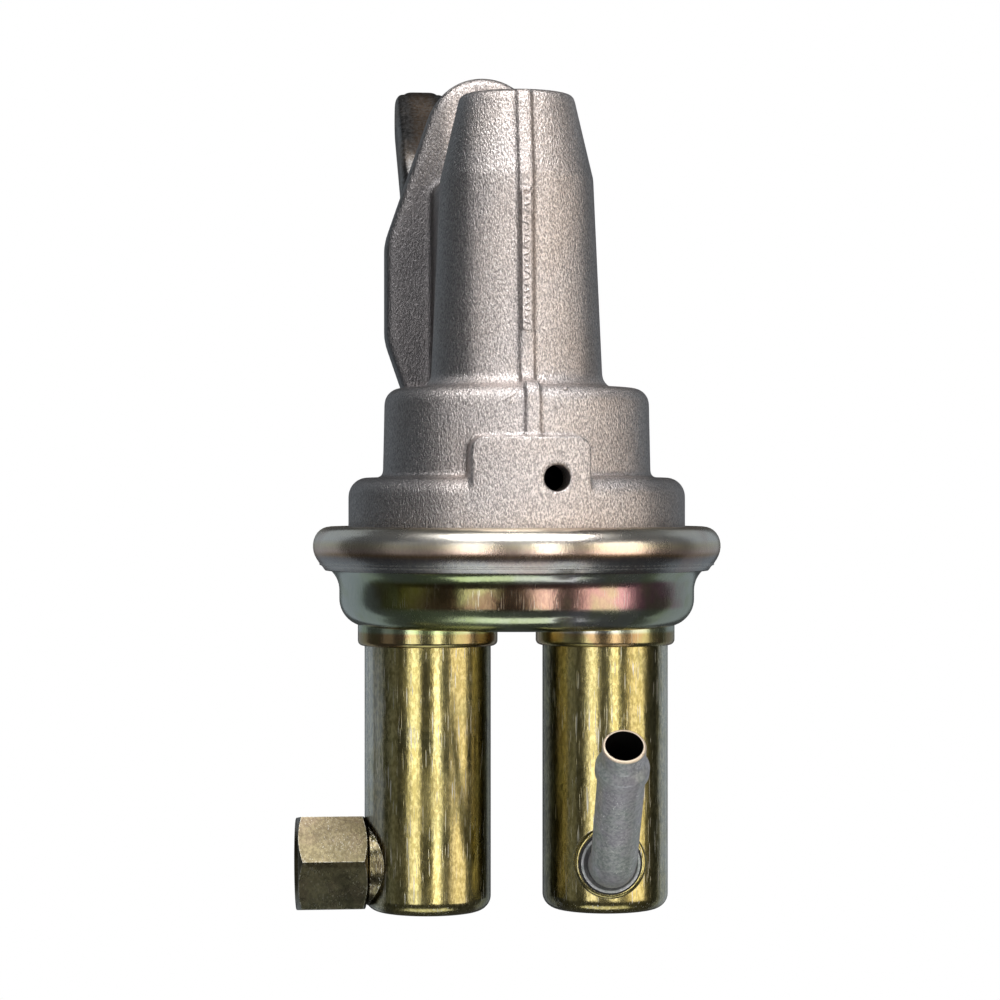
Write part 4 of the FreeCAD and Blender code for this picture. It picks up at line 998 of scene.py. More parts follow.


# The ring's colours from its lower lip to its top: gold and pink plating tint with painted reflections, a
# pale line at the lower lip, a dark line below the middle and a broad white painted highlight on the upper
# half
RING_TINT_AND_HIGHLIGHT_STOPS = (
    (0.0, (0.28, 0.28, 0.28)),
    (0.1, (0.46, 0.45, 0.46)),
    (0.2, (0.36, 0.36, 0.37)),
    (0.3, (0.28, 0.25, 0.26)),
    (0.38, (0.42, 0.27, 0.16)),
    (0.46, (0.80, 0.60, 0.50)),
    (0.6, (0.88, 0.78, 0.58)),
    (0.72, (0.95, 0.92, 0.86)),
    (0.9, (0.93, 0.88, 0.78)),
    (1.0, (0.60, 0.50, 0.34)),
)
COVER_STOPS = (
    (0.0, (0.52, 0.58, 0.52)),
    (0.2, (0.40, 0.50, 0.24)),
    (0.38, (0.48, 0.55, 0.34)),
    (0.6, (0.55, 0.54, 0.57)),
    (0.85, (0.50, 0.55, 0.40)),
    (1.0, (0.54, 0.58, 0.54)),
)
# The band round the cover's wall is a painted reflection: dark edges, olive and gold at the left, pink at the
# right
COVER_REFLECTION_BAND = (
    (0.06, (0.14, 0.09, 0.06)),
    (0.15, (0.24, 0.23, 0.035)),
    (0.24, (0.13, 0.085, 0.035)),
    (0.45, (0.20, 0.12, 0.075)),
    (0.6, (0.42, 0.25, 0.22)),
    (0.8, (0.52, 0.27, 0.32)),
    (0.95, (0.42, 0.28, 0.30)),
)
# The cans' colours from inner to outer side: gold plating with painted reflections (bright and dark bands,
# pale grey at the outer side) and painted shade at the inner side, where the cans face each other; the last
# stop is the collar's painted dark reflection
CAN_TINT_AND_REFLECTION_STOPS = (
    (0.0, (0.03, 0.028, 0.012)),
    (0.07, (0.10, 0.085, 0.03)),
    (0.16, (0.42, 0.35, 0.12)),
    (0.42, (0.56, 0.47, 0.18)),
    (0.5, (0.40, 0.32, 0.10)),
    (0.56, (0.56, 0.47, 0.16)),
    (0.76, (0.44, 0.37, 0.12)),
    (0.845, (0.12, 0.12, 0.05)),
    (0.875, (0.50, 0.56, 0.54)),
    (0.97, (0.66, 0.72, 0.74)),
    (0.99, (0.07, 0.045, 0.04)),
)
# The hex fitting's colours by height: olive plating, with painted light on the faces up to its middle and
# painted shade on the faces above
FITTING_TONE_AND_SHADE_STOPS = (
    (0.0, (0.10, 0.10, 0.065)),
    (0.5, (0.17, 0.15, 0.085)),
    (0.53, (0.10, 0.083, 0.045)),
    (1.0, (0.105, 0.08, 0.05)),
)

FINISHES: tuple[Finish, ...] = (
    CastAluminium("casting"),
    CastAluminium("zinc_casting", dark=(0.3, 0.3, 0.3), light=(0.55, 0.55, 0.54), rough=0.5),
    YellowZinc(
        "yellow_zinc_ring", RING_TINT_AND_HIGHLIGHT_STOPS, RING_LOW, RING_TOP, wander=0.0007, cloud_size=45.0, streaks=0.0,
        tint=(0.60, 0.40, 0.36), tint_share=0.3, fleck_share=0.1, rough=0.26, scratched=0.25,
    ),
    CoverZinc(
        "yellow_zinc_cover", COVER_STOPS, AXIS_X - COVER_R, AXIS_X + COVER_R, wander=0.009,
        cloud_size=75.0, streaks=0.0, tint=(0.36, 0.44, 0.16), tint_share=0.4, fleck_share=0.06,
        rough=0.19, scratched=0.25, band=COVER_REFLECTION_BAND, band_low=-68.2 * MM, band_high=-63.0 * MM,
    ),
    CanZinc(
        "yellow_zinc_can", CAN_TINT_AND_REFLECTION_STOPS, 0.0, 1.0, wander=0.03, cloud_size=70.0, streaks=0.42,
        tint=(0.33, 0.34, 0.16), tint_share=0.35, fleck_share=0.3, rough=0.19, scratched=0.8, waves=0.3,
    ),
    YellowZinc(
        "yellow_zinc_fitting", FITTING_TONE_AND_SHADE_STOPS, FITTING_Z - FITTING_R, FITTING_Z + FITTING_R,
        wander=0.0006, cloud_size=160.0, streaks=0.0, tint=(0.15, 0.11, 0.08), fleck_share=0.1,
        rough=0.25, scratched=0.2,
    ),
    NippleZinc(
        "grey_zinc", (0.31, 0.305, 0.34), (0.25, 0.29, 0.27), (0.75, 0.75, 0.75),
        cloud_size=160.0, rough=0.38, scratched=1.0, metal=0.55,
    ),
    WornForging(
        "arm_steel", (0.10, 0.097, 0.095), (0.15, 0.12, 0.095), (0.5, 0.49, 0.48), rough=0.36, depth=0.0001
    ),
    PlainMetal("plain_steel", (0.42, 0.42, 0.43), (0.34, 0.34, 0.35), (0.68, 0.68, 0.68), rough=0.28),
    PlainMetal("bronze", (0.5, 0.33, 0.15), (0.4, 0.26, 0.12), (0.7, 0.5, 0.25), rough=0.35),
    PlainMetal("spring_steel", (0.28, 0.28, 0.29), (0.2, 0.19, 0.18), (0.5, 0.5, 0.5), rough=0.32),
    PlainMetal("plated_steel", (0.5, 0.45, 0.3), (0.42, 0.4, 0.33), (0.7, 0.68, 0.6), rough=0.26),
    PlainMetal("valve_brass", (0.6, 0.45, 0.2), (0.5, 0.37, 0.16), (0.75, 0.6, 0.35), rough=0.28),
    SoftSheet("diaphragm_rubber", (0.03, 0.028, 0.025), (0.06, 0.055, 0.05), 1900.0),
    SoftSheet("seal_rubber", (0.015, 0.015, 0.015), (0.03, 0.03, 0.03)),
    SoftSheet("valve_rubber", (0.025, 0.025, 0.025), (0.045, 0.042, 0.04)),
    SoftSheet("gasket_fibre", (0.12, 0.08, 0.05), (0.2, 0.14, 0.09), 1200.0, 0.85),
)


def closed_mesh(shape: bmesh.types.BMesh, name: str) -> bpy.types.Mesh:
    """Merge a shape's doubled points, turn its faces outward and make it a mesh.

    Args:
        shape: The shape, which is used up.
        name: The mesh's name.

    Returns:
        The mesh.
    """
    bmesh.ops.remove_doubles(shape, verts=shape.verts, dist=1e-7)
    bmesh.ops.recalc_face_normals(shape, faces=shape.faces)
    mesh = bpy.data.meshes.new(name)
    shape.to_mesh(mesh)
    shape.free()
    return mesh


def bridge(
    shape: bmesh.types.BMesh, one: Sequence[bmesh.types.BMVert], other: Sequence[bmesh.types.BMVert],
    closed: bool = False,
) -> None:
    """Fill the faces between two rows of points.

    Args:
        shape: The shape that the points are in.
        one: The first row.
        other: The second row, as long as the first.
        closed: Whether the rows are rings.
    """
    pairs = list(zip(one, other))
    if closed:
        pairs.append(pairs[0])
    for (start, beside), (following, across) in zip(pairs, pairs[1:]):
        shape.faces.new((start, following, across, beside))


def add_tube(
    shape: bmesh.types.BMesh, path: Sequence[Vector], radii: Sequence[float], axis: Vector,
    sides: int = 10, closed: bool = False,
) -> None:
    """Sweep a round bar along a path.

    Args:
        shape: The shape that it goes into.
        path: The points of its centre line.
        radii: Its radius at each point.
        axis: A direction that the path never runs along.
        sides: How many sides it has.
        closed: Whether it closes on itself, or else ends in flat caps.
    """
    rings = []
    count = len(path)
    for index, (point, radius) in enumerate(zip(path, radii)):
        before = path[index - 1] if closed else path[max(index - 1, 0)]
        after = path[(index + 1) % count] if closed else path[min(index + 1, count - 1)]
        along = (after - before).normalized()
        side = along.cross(axis).normalized()
        up = side.cross(along)
        turns = [2 * math.pi * k / sides for k in range(sides)]
        rings.append([
            shape.verts.new(point + (side * math.cos(turn) + up * math.sin(turn)) * radius) for turn in turns
        ])
    pairs = list(zip(rings, rings[1:]))
    if closed:
        pairs.append((rings[-1], rings[0]))
    else:
        shape.faces.new(rings[0])
        shape.faces.new(rings[-1])
    for one, other in pairs:
        bridge(shape, one, other, closed=True)


def helix(
    centre: Vector, axis: Vector, start: Vector, radius: float, climb: float, turns: float,
    steps: int = 32,
) -> list[Vector]:
    """Give the points of a helix.

    Args:
        centre: The middle of its first turn.
        axis: The direction that it climbs in.
        start: The direction from the middle to its first point.
        radius: Its radius.
        climb: Its whole height.
        turns: How often it goes round.
        steps: Points in each turn.

    Returns:
        The points.
    """
    count = int(turns * steps)
    across = axis.cross(start)
    points = []
    for index in range(count + 1):
        turn = 2 * math.pi * turns * index / count
        around = start * math.cos(turn) + across * math.sin(turn)
        points.append(centre + axis * (climb * index / count) + around * radius)
    return points


class Skin:
    """Find places on a piece's outside, seen from the front."""

    stand_off: float = 200.0 * MM

    def __init__(self, mesh: bpy.types.Mesh) -> None:
        """Index the mesh for casting rays at it.

        Args:
            mesh: The piece's mesh.
        """
        points = [vertex.co.copy() for vertex in mesh.vertices]
        faces = [tuple(face.vertices) for face in mesh.polygons]
        self.tree = BVHTree.FromPolygons(points, faces)

    def front(self, x: float, z: float) -> Vector:
        """Give the first place behind a point in front of the pump.

        Args:
            x: The place's distance across, in the row's frame.
            z: Its height, in the row's frame.

        Returns:
            The place on the surface.
        """
        start = Vector((x, AXIS_Y - self.stand_off, z))
        found = self.tree.ray_cast(start, Vector((0, 1, 0)))[0]
        if found is None:
            raise ValueError(f"nothing lies behind x {x:.4f}, z {z:.4f}")
        return found


@dataclass(frozen=True)
class Softening:
    """Say how a copied node is softened, and where it is softened further."""

    voxel: float
    rounds: int
    most_triangles: int
    zone: Callable[[Vector], bool] | None = None
    zone_rounds: int = 0
    share: float = 0.5


class Workshop:
    """Make pieces, give them their finish and hand them to the frame."""

    def __init__(self, frame: dict) -> None:
        """Make every finish and keep the frame's nodes.

        Args:
            frame: The loaded frame.
        """
        self.nodes: dict[str, bpy.types.Object] = frame["nodes"]
        effects = Effects()
        self.materials = {finish.slot: finish.material(effects) for finish in FINISHES}

    def dress_node(self, node: str, slot: str) -> None:
        """Give a carried-over node its finish.

        Args:
            node: The node.
            slot: The slot that its finish is for.
        """
        mesh = self.nodes[node].data
        mesh.materials.clear()
        mesh.materials.append(self.materials[slot])

    def add(
        self, name: str, mesh: bpy.types.Mesh, slot: str, body: Body | None, stands_for: Sequence[str] = ()
    ) -> bpy.types.Object:
        """Hand in a finished mesh as a piece of the pump.

        Args:
            name: The piece's name.
            mesh: Its mesh, already in place.
            slot: The slot that its finish is for.
            body: The body that it rides on, or None where it is left free.
            stands_for: The nodes that it takes over from.

        Returns:
            The piece.
        """
        mesh.materials.clear()
        mesh.materials.append(self.materials[slot])
        for face in mesh.polygons:
            face.use_smooth = True
        piece = shown(name, mesh)
        if body is not None:
            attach(piece, body.value)
        if stands_for:
            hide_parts(*stands_for)
        LOG.info("%s: %d faces", name, len(mesh.polygons))
        return piece

    def add_shape(
        self, name: str, shape: bmesh.types.BMesh, slot: str, body: Body | None,
        stands_for: Sequence[str] = (),
    ) -> bpy.types.Object:
        """Hand in a shape as a piece of the pump; as add, but the shape is used up."""
        return self.add(name, closed_mesh(shape, name), slot, body, stands_for)

    def softened(self, node: str, name: str, soft: Softening) -> bpy.types.Mesh:
        """Copy a node with the soft edges and corners of a casting or forging.

        Args:
            node: The node to copy.
            name: The new mesh's name.
            soft: How it is softened.

        Returns:
            The softened mesh.
        """
        shape = bmesh.new()
        shape.from_mesh(self.nodes[node].data)
        helper = shown(name + "_form", closed_mesh(shape, name))
        rebuild = helper.modifiers.new("rebuild", "REMESH")
        rebuild.mode = "VOXEL"
        rebuild.voxel_size = soft.voxel
        soften = helper.modifiers.new("soften", "SMOOTH")
        soften.factor = soft.share
        soften.iterations = soft.rounds
        made = worked_out(helper)
        if soft.zone is not None:
            shape = bmesh.new()
            shape.from_mesh(made)
            chosen = [vertex for vertex in shape.verts if soft.zone(vertex.co)]
            for _ in range(soft.zone_rounds):
                bmesh.ops.smooth_vert(
                    shape, verts=chosen, factor=soft.share, use_axis_x=True, use_axis_y=True, use_axis_z=True
                )
            shape.to_mesh(made)
            shape.free()
        triangles = sum(len(face.vertices) - 2 for face in made.polygons)
        if triangles > soft.most_triangles:
            helper.modifiers.clear()
            helper.data = made
            thin = helper.modifiers.new("thin", "DECIMATE")
            thin.ratio = soft.most_triangles / triangles
            made = worked_out(helper)
        bpy.data.objects.remove(helper)
        made.name = name
        return made


@dataclass(frozen=True)
class SoftBox:
    """Describe one soft light by its bearings and heights in degrees, seen from the pump."""

    name: str
    start: float
    end: float
    low: float
    high: float
    glow: float
    colour: Colour
    distance: float = 0.9


SOFT_BOXES = (
    SoftBox("left_key", -42.0, -7.0, -24.0, 24.0, 1.9, (1.0, 0.975, 0.97)),
    SoftBox("right_key", 5.0, 28.0, -24.0, 24.0, 2.9, (1.0, 0.985, 0.96)),
    SoftBox("right_warm", 29.0, 88.0, -24.0, 24.0, 1.6, (1.0, 0.90, 0.80)),
    SoftBox("left_fill", -86.0, -48.0, -24.0, 24.0, 0.14, (0.94, 0.97, 1.0)),
    SoftBox("left_back", -176.0, -98.0, -40.0, 40.0, 0.2, (0.86, 0.97, 1.06)),
    SoftBox("right_back", 98.0, 176.0, -40.0, 40.0, 0.2, (0.86, 0.97, 1.06)),
    SoftBox("overhead", -55.0, 55.0, 42.0, 80.0, 3.2, (1.0, 0.99, 0.985)),
    SoftBox("underneath", -50.0, 50.0, -85.0, -60.0, 1.0, (0.97, 1.0, 0.98)),
)


@dataclass
class Studio:
    """Set up the camera, the pale floor, the white surroundings and the soft lights."""

    distance: float = 0.650
    yaw: float = -6.5
    width_at_axis: float = 0.2100
    centre_shift: float = -0.0035
    eye_height: float = 0.0098
    sensor: float = 36.0
    floor_z: float = -0.1326
    floor_size: float = 6.0
    room: Colour = (0.055, 0.058, 0.062)
    white: Colour = (1.0, 1.0, 1.0)
    power: float = 4.0
    # Each light's face covers this share of its bearings, widened a little
    lit_share: float = 0.5
    widened: float = 1.04 ** 2

    def camera(self) -> None:
        """Put the camera where the photograph was taken from."""
        turn = math.radians(self.yaw)
        right = Vector((math.cos(turn), math.sin(turn), 0))
        back = Vector((math.sin(turn), -math.cos(turn), 0))
        data = bpy.data.cameras.new("camera")
        data.sensor_width = self.sensor
        data.lens = self.sensor * self.distance / self.width_at_axis
        data.clip_start = 0.01
        data.clip_end = 50.0
        camera = shown("camera", data)
        eye = Vector((AXIS_X, AXIS_Y, CLAMP_Z + self.eye_height))
        camera.location = eye + right * self.centre_shift + back * self.distance
        camera.rotation_euler = (math.pi / 2, 0, turn)
        bpy.context.scene.camera = camera

    def floor(self) -> None:
        """Lay a pale floor under the cans, plain white to the camera as in the photograph."""
        shape = bmesh.new()
        bmesh.ops.create_grid(shape, x_segments=1, y_segments=1, size=self.floor_size)
        bmesh.ops.translate(shape, verts=shape.verts, vec=(0, 0, self.floor_z))
        mesh = bpy.data.meshes.new("floor")
        shape.to_mesh(mesh)
        shape.free()
        floor = shown("floor", mesh)
        material = bpy.data.materials.new("floor")
        material.use_nodes = True
        sheet = NodeSheet(material.node_tree)
        surface = sheet.own("BSDF_PRINCIPLED")
        output = sheet.own("OUTPUT_MATERIAL")
        surface.inputs["Base Color"].default_value = (0.8, 0.8, 0.8, 1)
        surface.inputs["Roughness"].default_value = 1.0
        glow = sheet.add("ShaderNodeEmission")
        sheet.feed(glow.inputs["Color"], self.white)
        mixed = sheet.add("ShaderNodeMixShader")
        sheet.feed(mixed.inputs[0], sheet.add("ShaderNodeLightPath").outputs["Is Camera Ray"])
        sheet.feed(mixed.inputs[1], surface.outputs[0])
        sheet.feed(mixed.inputs[2], glow.outputs[0])
        sheet.feed(output.inputs["Surface"], mixed.outputs[0])
        mesh.materials.append(material)
        floor.visible_glossy = False
        floor.visible_shadow = False

    def surroundings(self) -> None:
        """Keep the room dark to reflections, and show plain white behind the pump."""
        world = bpy.data.worlds.new("studio")
        world.use_nodes = True
        sheet = NodeSheet(world.node_tree)
        background = sheet.own("BACKGROUND")
        seen = sheet.add("ShaderNodeLightPath").outputs["Is Camera Ray"]
        sheet.feed(background.inputs["Color"], sheet.blend(seen, self.room, self.white))
        background.inputs["Strength"].default_value = 1.0
        bpy.context.scene.world = world

    def light(self, box: SoftBox) -> None:
        """Stand one soft light at its place round the pump.

        Args:
            box: The light.
        """
        middle = math.radians((box.start + box.end) / 2 + self.yaw)
        height = math.radians((box.low + box.high) / 2)
        data = bpy.data.lights.new(box.name, "AREA")
        data.shape = "RECTANGLE"
        half_width = math.radians((box.end - box.start) / 2 * self.lit_share)
        data.size = 2 * box.distance * math.tan(half_width) * self.widened
        data.size_y = 2 * box.distance * math.tan(math.radians((box.high - box.low) / 2))
        data.energy = self.power * box.glow * data.size * data.size_y
        data.color = box.colour
        light = shown(box.name, data)
        target = Vector((AXIS_X, AXIS_Y, CLAMP_Z))
        level = math.cos(height)
        way = Vector((math.sin(middle) * level, -math.cos(middle) * level, math.sin(height)))
        light.location = target + way * box.distance
        light.rotation_euler = way.to_track_quat("Z", "Y").to_euler()
        light.visible_camera = False

    def build(self) -> None:
        """Set the whole studio up."""
        self.camera()
        self.floor()
        self.surroundings()
        for box in SOFT_BOXES:
            self.light(box)
        bpy.context.scene.view_settings.view_transform = "Standard"


@dataclass(frozen=True)
class Mark:
    """Describe one flash line or chip by its ends about the axis and its radius, in millimetres."""

    start: tuple[float, float]
    end: tuple[float, float]
    radius: float


FLASH_MARKS = (
    Mark((-5.7, 29.9), (-3.0, 31.7), 0.24),
    Mark((-5.0, 28.8), (-4.1, 30.3), 0.18),
    Mark((-1.5, 29.6), (-0.6, 31.4), 0.22),
    Mark((5.1, 30.5), (6.6, 28.1), 0.24),
    Mark((4.4, 29.2), (5.0, 28.0), 0.16),
    Mark((6.2, 32.2), (7.5, 32.3), 0.4),
)


@dataclass
class CastHousing:
    """Build the die-cast housing over its solid, with its strip, flash and nub."""

    workshop: Workshop
    soft: Softening = Softening(0.00045, 4, 185_000)
    strip_width: float = 2.3 * MM
    strip_x: float = AXIS_X - 0.1 * MM
    strip_low: float = CLAMP_Z + 44.2 * MM
    strip_length: float = 29.4 * MM
    strip_raise: float = 0.55 * MM
    strip_sink: float = 0.35 * MM
    strip_depth: float = 1.2 * MM
    strip_edge: float = 0.22 * MM
    strip_grid: tuple[int, int] = (24, 330)
    corner_share: float = 0.4
    bar_pitch: float = 1.27 * MM
    bar_raise: float = 0.36 * MM
    bar_width: float = 0.19 * MM
    bars_from: float = 1.0 * MM
    bars_fade: float = 0.3 * MM
    notch_depth: float = 0.8 * MM
    notch_down: float = 0.9 * MM
    notch_size: Span = (0.45 * MM, 0.4 * MM)
    flash_steps: int = 8
    flash_sides: int = 8
    flash_thin: float = 0.15
    flash_raise: float = 0.1 * MM
    # The nub's middle, in millimetres
    nub: tuple[float, float, float] = (0.9, -3.4, 47.45)
    nub_r: float = 0.55 * MM
    nub_scale: tuple[float, float, float] = (1.0, 1.7, 0.8)

    @staticmethod
    def bar(number: int) -> tuple[float, float, float]:
        """Vary one bar of the strip, so that no two are quite alike.

        Args:
            number: Its place, counted from the strip's lower end.

        Returns:
            Its tilt, its shift across the strip, and half its length.
        """
        tilt = (-1) ** number * (0.45 + 0.25 * math.sin(3.7 * number))
        shift = 0.12 * MM * math.sin(5.1 * number)
        reach = (0.42 + 0.14 * math.sin(2.3 * number)) * MM
        return tilt, shift, reach

    def strip_height(self, across: float, along: float) -> float:
        """Give how far the strip stands out at one place.

        Args:
            across: Distance from its centre line.
            along: Distance from its lower end.

        Returns:
            The height over the rib; below 0 outside the strip.
        """
        corner = self.corner_share * self.strip_width
        end = min(along, self.strip_length - along)
        off = math.hypot(max(abs(across) - self.strip_width / 2 + corner, 0), max(corner - end, 0))
        edge = clamped((corner - off) / self.strip_edge)
        plate = edge * edge * (3 - 2 * edge) * (self.strip_raise + self.strip_sink) - self.strip_sink
        number = int(along / self.bar_pitch)
        tilt, shift, reach = self.bar(number)
        beside = along - (number + 0.5) * self.bar_pitch - tilt * (across - shift)
        bar = math.exp(-((beside / self.bar_width) ** 2)) * (1 if abs(across - shift) < reach else 0)
        ends = clamped((end - self.bars_from) / self.bars_fade)
        up = (self.strip_length - along - self.notch_down) / self.notch_size[1]
        notch = math.exp(-(up ** 2 + (across / self.notch_size[0]) ** 2))
        return plate + self.bar_raise * bar * ends * edge - self.notch_depth * notch

    def strip(self, skin: Skin) -> None:
        """Lay the raised strip with its slanting bars on the rib.

        Args:
            skin: The casting's outside.
        """
        columns, rows = self.strip_grid
        shape = bmesh.new()
        fronts, backs = [], []
        for row in range(rows + 1):
            along = self.strip_length * row / rows
            base = skin.front(self.strip_x, self.strip_low + along).y
            front, back = [], []
            for column in range(columns + 1):
                across = self.strip_width * (column / columns - 0.5)
                place = Vector((self.strip_x + across, base, self.strip_low + along))
                front.append(shape.verts.new(place - Vector((0, self.strip_height(across, along), 0))))
                back.append(shape.verts.new(place + Vector((0, self.strip_depth, 0))))
            fronts.append(front)
            backs.append(back)
        for layer in (fronts, backs):
            for low, high in zip(layer, layer[1:]):
                bridge(shape, low, high)
        for end in (0, -1):
            bridge(shape, fronts[end], backs[end])
            bridge(shape, [front[end] for front in fronts], [back[end] for back in backs])
        self.workshop.add_shape("rib_strip", shape, "casting", Body.HOUSING)

    def flash(self, skin: Skin) -> None:
        """Lay the flash lines and chips at the rib's foot, and the nub on the flange.

        Args:
            skin: The casting's outside.
        """
        shape = bmesh.new()
        for mark in FLASH_MARKS:
            path, radii = [], []
            for step in range(self.flash_steps + 1):
                share = step / self.flash_steps
                x = mark.start[0] + (mark.end[0] - mark.start[0]) * share
                height = mark.start[1] + (mark.end[1] - mark.start[1]) * share
                place = skin.front(AXIS_X + x * MM, CLAMP_Z + height * MM)
                path.append(place - Vector((0, self.flash_raise, 0)))
                swell = (self.flash_thin + math.sin(math.pi * share)) / (self.flash_thin + 1)
                radii.append(mark.radius * MM * swell)
            add_tube(shape, path, radii, Vector((0, 1, 0)), self.flash_sides)
        nub = Matrix.LocRotScale(Vector(self.nub) * MM, None, Vector(self.nub_scale))
        bmesh.ops.create_icosphere(shape, subdivisions=3, radius=self.nub_r, matrix=nub)
        self.workshop.add_shape("casting_flash", shape, "casting", Body.HOUSING)

    def build(self) -> None:
        """Hand in the casting and what lies on it."""
        mesh = self.workshop.softened("upper_casting", "housing_casting", self.soft)
        skin = Skin(mesh)
        self.workshop.add("housing_casting", mesh, "casting", Body.HOUSING, ["upper_casting"])
        self.strip(skin)
        self.flash(skin)


@dataclass
class RolledRing:
    """Build the rolled clamping ring over its solid, round like a bead.

    Its outline is given in millimetres: the radius about the diaphragm's axis and the
    height above the clamped diaphragm.
    """

    workshop: Workshop
    outline: tuple[tuple[float, float], ...] = (
        (37.32, 3.30), (37.32, 3.78), (37.42, 4.08), (37.75, 4.26), (38.4, 4.30), (39.1, 4.28),
        (39.9, 4.16), (40.6, 3.92), (41.25, 3.52), (41.8, 2.98), (42.25, 2.28), (42.55, 1.5),
        (42.70, 0.7), (42.72, -0.1), (42.60, -0.95), (42.33, -1.75), (41.95, -2.5), (41.5, -3.2),
        (41.05, -3.78), (40.68, -4.2), (40.4, -4.62), (40.15, -4.9), (39.92, -4.93), (39.80, -4.72),
        (39.84, -4.42), (40.5, -4.1), (41.36, -3.72), (41.36, 3.30),
    )
    steps: int = 160

    def build(self) -> None:
        """Turn the ring's outline about the diaphragm's axis."""
        shape = bmesh.new()
        rings = []
        for step in range(self.steps):
            turn = 2 * math.pi * step / self.steps
            rings.append([
                shape.verts.new(stack_point(radius * math.cos(turn), radius * math.sin(turn), height))
                for radius, height in self.outline
            ])
        for one, other in zip(rings, rings[1:] + rings[:1]):
            bridge(shape, one, other, closed=True)
        self.workshop.add_shape("rolled_ring", shape, "yellow_zinc_ring", Body.HOUSING, ["crimp_ring"])


@dataclass
class ForgedArm:
    """Build the rocker arm over its solid, with the round edges of its outer blade."""

    workshop: Workshop
    soft: Softening = Softening(0.0004, 3, 90_000, lambda point: point.y > ARM_SOFT_Y, 90)
    outer_y: float = 12.0 * MM
    blade_y: float = 24.0 * MM
    corner: float = 4.2 * MM
    pivot: Vector = field(default_factory=lambda: Vector((2.7, -19.0, -6.2)) * MM)
    way: Vector = field(default_factory=lambda: Vector((0, 1, 1)).normalized())

    def build(self) -> None:
        """Hand in the softened forging, its end rounded to a dome."""
        mesh = self.workshop.softened("rocker_arm", "forged_arm", self.soft)
        outer = [vertex.co for vertex in mesh.vertices if vertex.co.y > self.outer_y]
        left = min(place.x for place in outer if place.y > self.blade_y)
        right = max(place.x for place in outer if place.y > self.blade_y)
        middle, half = (left + right) / 2, (right - left) / 2
        end = max((place - self.pivot).dot(self.way) for place in outer)
        for place in outer:
            across = abs(place.x - middle) - (half - self.corner)
            past = (place - self.pivot).dot(self.way) - (end - self.corner)
            if across > 0 and past > 0:
                share = max(across, past) / math.hypot(across, past)
                place.x = middle + math.copysign(half - self.corner + across * share, place.x - middle)
                place += self.way * (past * (share - 1))
        self.workshop.add("forged_arm", mesh, "arm_steel", Body.ARM, ["rocker_arm"])


@dataclass(frozen=True)
class Spring:
    """Describe one coil spring that stands for its solid."""

    node: str
    turns: float
    wire: float
    joint: str
    travel: float
    fixed_at_top: bool


SPRINGS = (
    Spring("arm_return_spring", 7, 0.75 * MM, "rocker_pivot", 4.9 * MM, True),
    Spring("diaphragm_spring", 5, 1.1 * MM, "rod_slide", 4.9 * MM, True),
    Spring("inlet_valve_spring", 3, 0.25 * MM, "inlet_valve_lift", 1.2 * MM, True),
    Spring("outlet_valve_spring", 3, 0.25 * MM, "outlet_valve_lift", 1.2 * MM, False),
)


@dataclass
class InnerWorks:
    """Build the springs and the diaphragm, parts that change shape as the pump works, each in a single shape.
    """

    workshop: Workshop
    wire_sides: int = 12
    # Millimetres above the clamped diaphragm: its rim, and its middle on the rod
    clamp_height: float = -0.4
    rod_height: float = -2.05

    def spring(self, spring: Spring) -> None:
        """Coil one spring over its solid.

        Args:
            spring: The spring.
        """
        low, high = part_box(spring.node)
        middle = (low + high) / 2
        radius = (high.x - low.x) / 2 - spring.wire
        climb = high.z - low.z - 2 * spring.wire
        foot = Vector((middle.x, middle.y, low.z + spring.wire))
        path = helix(foot, Vector((0, 0, 1)), Vector((1, 0, 0)), radius, climb, spring.turns)
        shape = bmesh.new()
        add_tube(shape, path, [spring.wire] * len(path), Vector((0, 0, 1)), self.wire_sides)
        name = spring.node + "_coil"
        piece = self.workshop.add_shape(name, shape, "spring_steel", Body.HOUSING, [spring.node])
        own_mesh(piece)

    def diaphragm(self) -> None:
        """Hand in the diaphragm, copied from its solid."""
        shape = bmesh.new()
        shape.from_mesh(self.workshop.nodes["diaphragm"].data)
        piece = self.workshop.add_shape("diaphragm_sheet", shape, "diaphragm_rubber", None, ["diaphragm"])
        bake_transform(piece)

    def build(self) -> None:
        """Hand in every spring and the diaphragm."""
        for spring in SPRINGS:
            self.spring(spring)
        self.diaphragm()


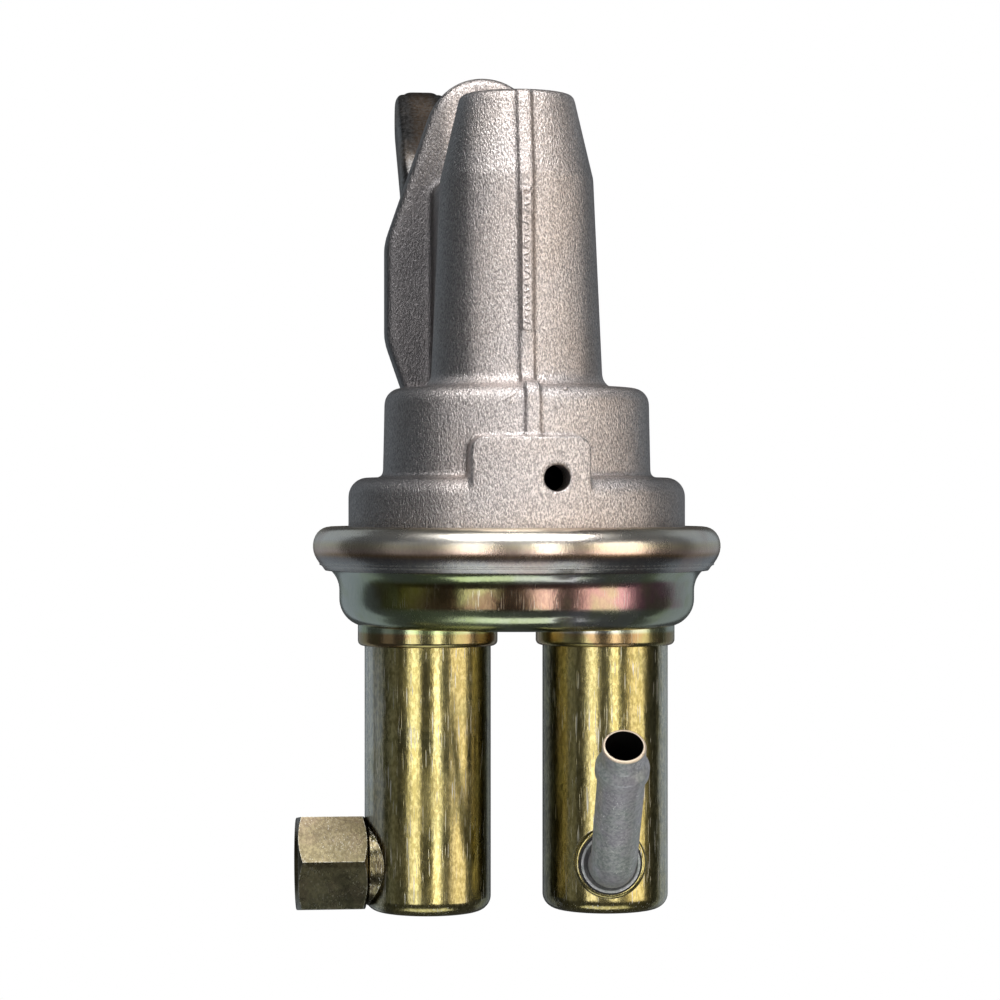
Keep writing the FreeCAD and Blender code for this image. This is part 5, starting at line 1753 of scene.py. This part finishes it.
@dataclass
class FuelFittings:
    """Build the outlet's thread and a dark ring of painted shadow round the nipple's foot."""

    workshop: Workshop
    thread_r: float = 7.25 * MM
    thread_start: float = -43.55 * MM + 1.2 * MM
    thread_length: float = 6.4 * MM
    thread_turns: float = 4.5
    thread_steps: int = 48
    ridge: float = 0.3 * MM
    ridge_thin: float = 0.2
    ridge_growth: float = 8.0
    ridge_sides: int = 6
    gap_r: float = 6.3 * MM
    gap: float = 0.3 * MM
    gap_steps: int = 64

    def thread(self) -> None:
        """Cut the outlet's thread as a ridge that winds along its socket."""
        start = Vector((self.thread_start, AXIS_Y, FITTING_Z))
        path = helix(
            start, Vector((1, 0, 0)), Vector((0, 0, 1)), self.thread_r, self.thread_length,
            self.thread_turns, self.thread_steps,
        )
        count = len(path)
        grown = [self.ridge_growth * min(k, count - 1 - k) / count for k in range(count)]
        radii = [self.ridge * min(1.0, self.ridge_thin + share) for share in grown]
        shape = bmesh.new()
        add_tube(shape, path, radii, Vector((1, 0, 0)), self.ridge_sides)
        self.workshop.add_shape("outlet_thread_ridge", shape, "yellow_zinc_fitting", Body.HOUSING)

    def foot_shadow_ring(self) -> None:
        """Lay a dark ring in the gap between boss and nipple, as painted shadow."""
        up = Vector((0, 0, 1))
        across = FOOT_WAY.cross(up)
        path = []
        for k in range(self.gap_steps):
            turn = 2 * math.pi * k / self.gap_steps
            around = across * math.cos(turn) + up * math.sin(turn)
            path.append(NIPPLE_FOOT + around * self.gap_r)
        shape = bmesh.new()
        add_tube(shape, path, [self.gap] * self.gap_steps, FOOT_WAY, closed=True)
        # Painted shadow: the ring borrows the seal's black rubber, but it stands for the shadow in the gap
        self.workshop.add_shape("nipple_foot_shadow_ring", shape, "seal_rubber", Body.HOUSING)

    def build(self) -> None:
        """Hand in the fittings' small pieces."""
        self.thread()
        self.foot_shadow_ring()


def node_slots(record: dict) -> dict[str, str]:
    """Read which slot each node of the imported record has."""
    return {part["node"]: part["material_slot"] for part in record["subparts"]}


def main() -> None:
    """Build the pump's pieces in order."""
    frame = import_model()
    workshop = Workshop(frame)
    for node, slot in node_slots(frame["record"]).items():
        workshop.dress_node(node, slot)
    Studio().build()
    CastHousing(workshop).build()
    RolledRing(workshop).build()
    ForgedArm(workshop).build()
    InnerWorks(workshop).build()
    FuelFittings(workshop).build()


if __name__ == "__main__":
    logging.basicConfig(level=logging.INFO, format="%(message)s")
    main()
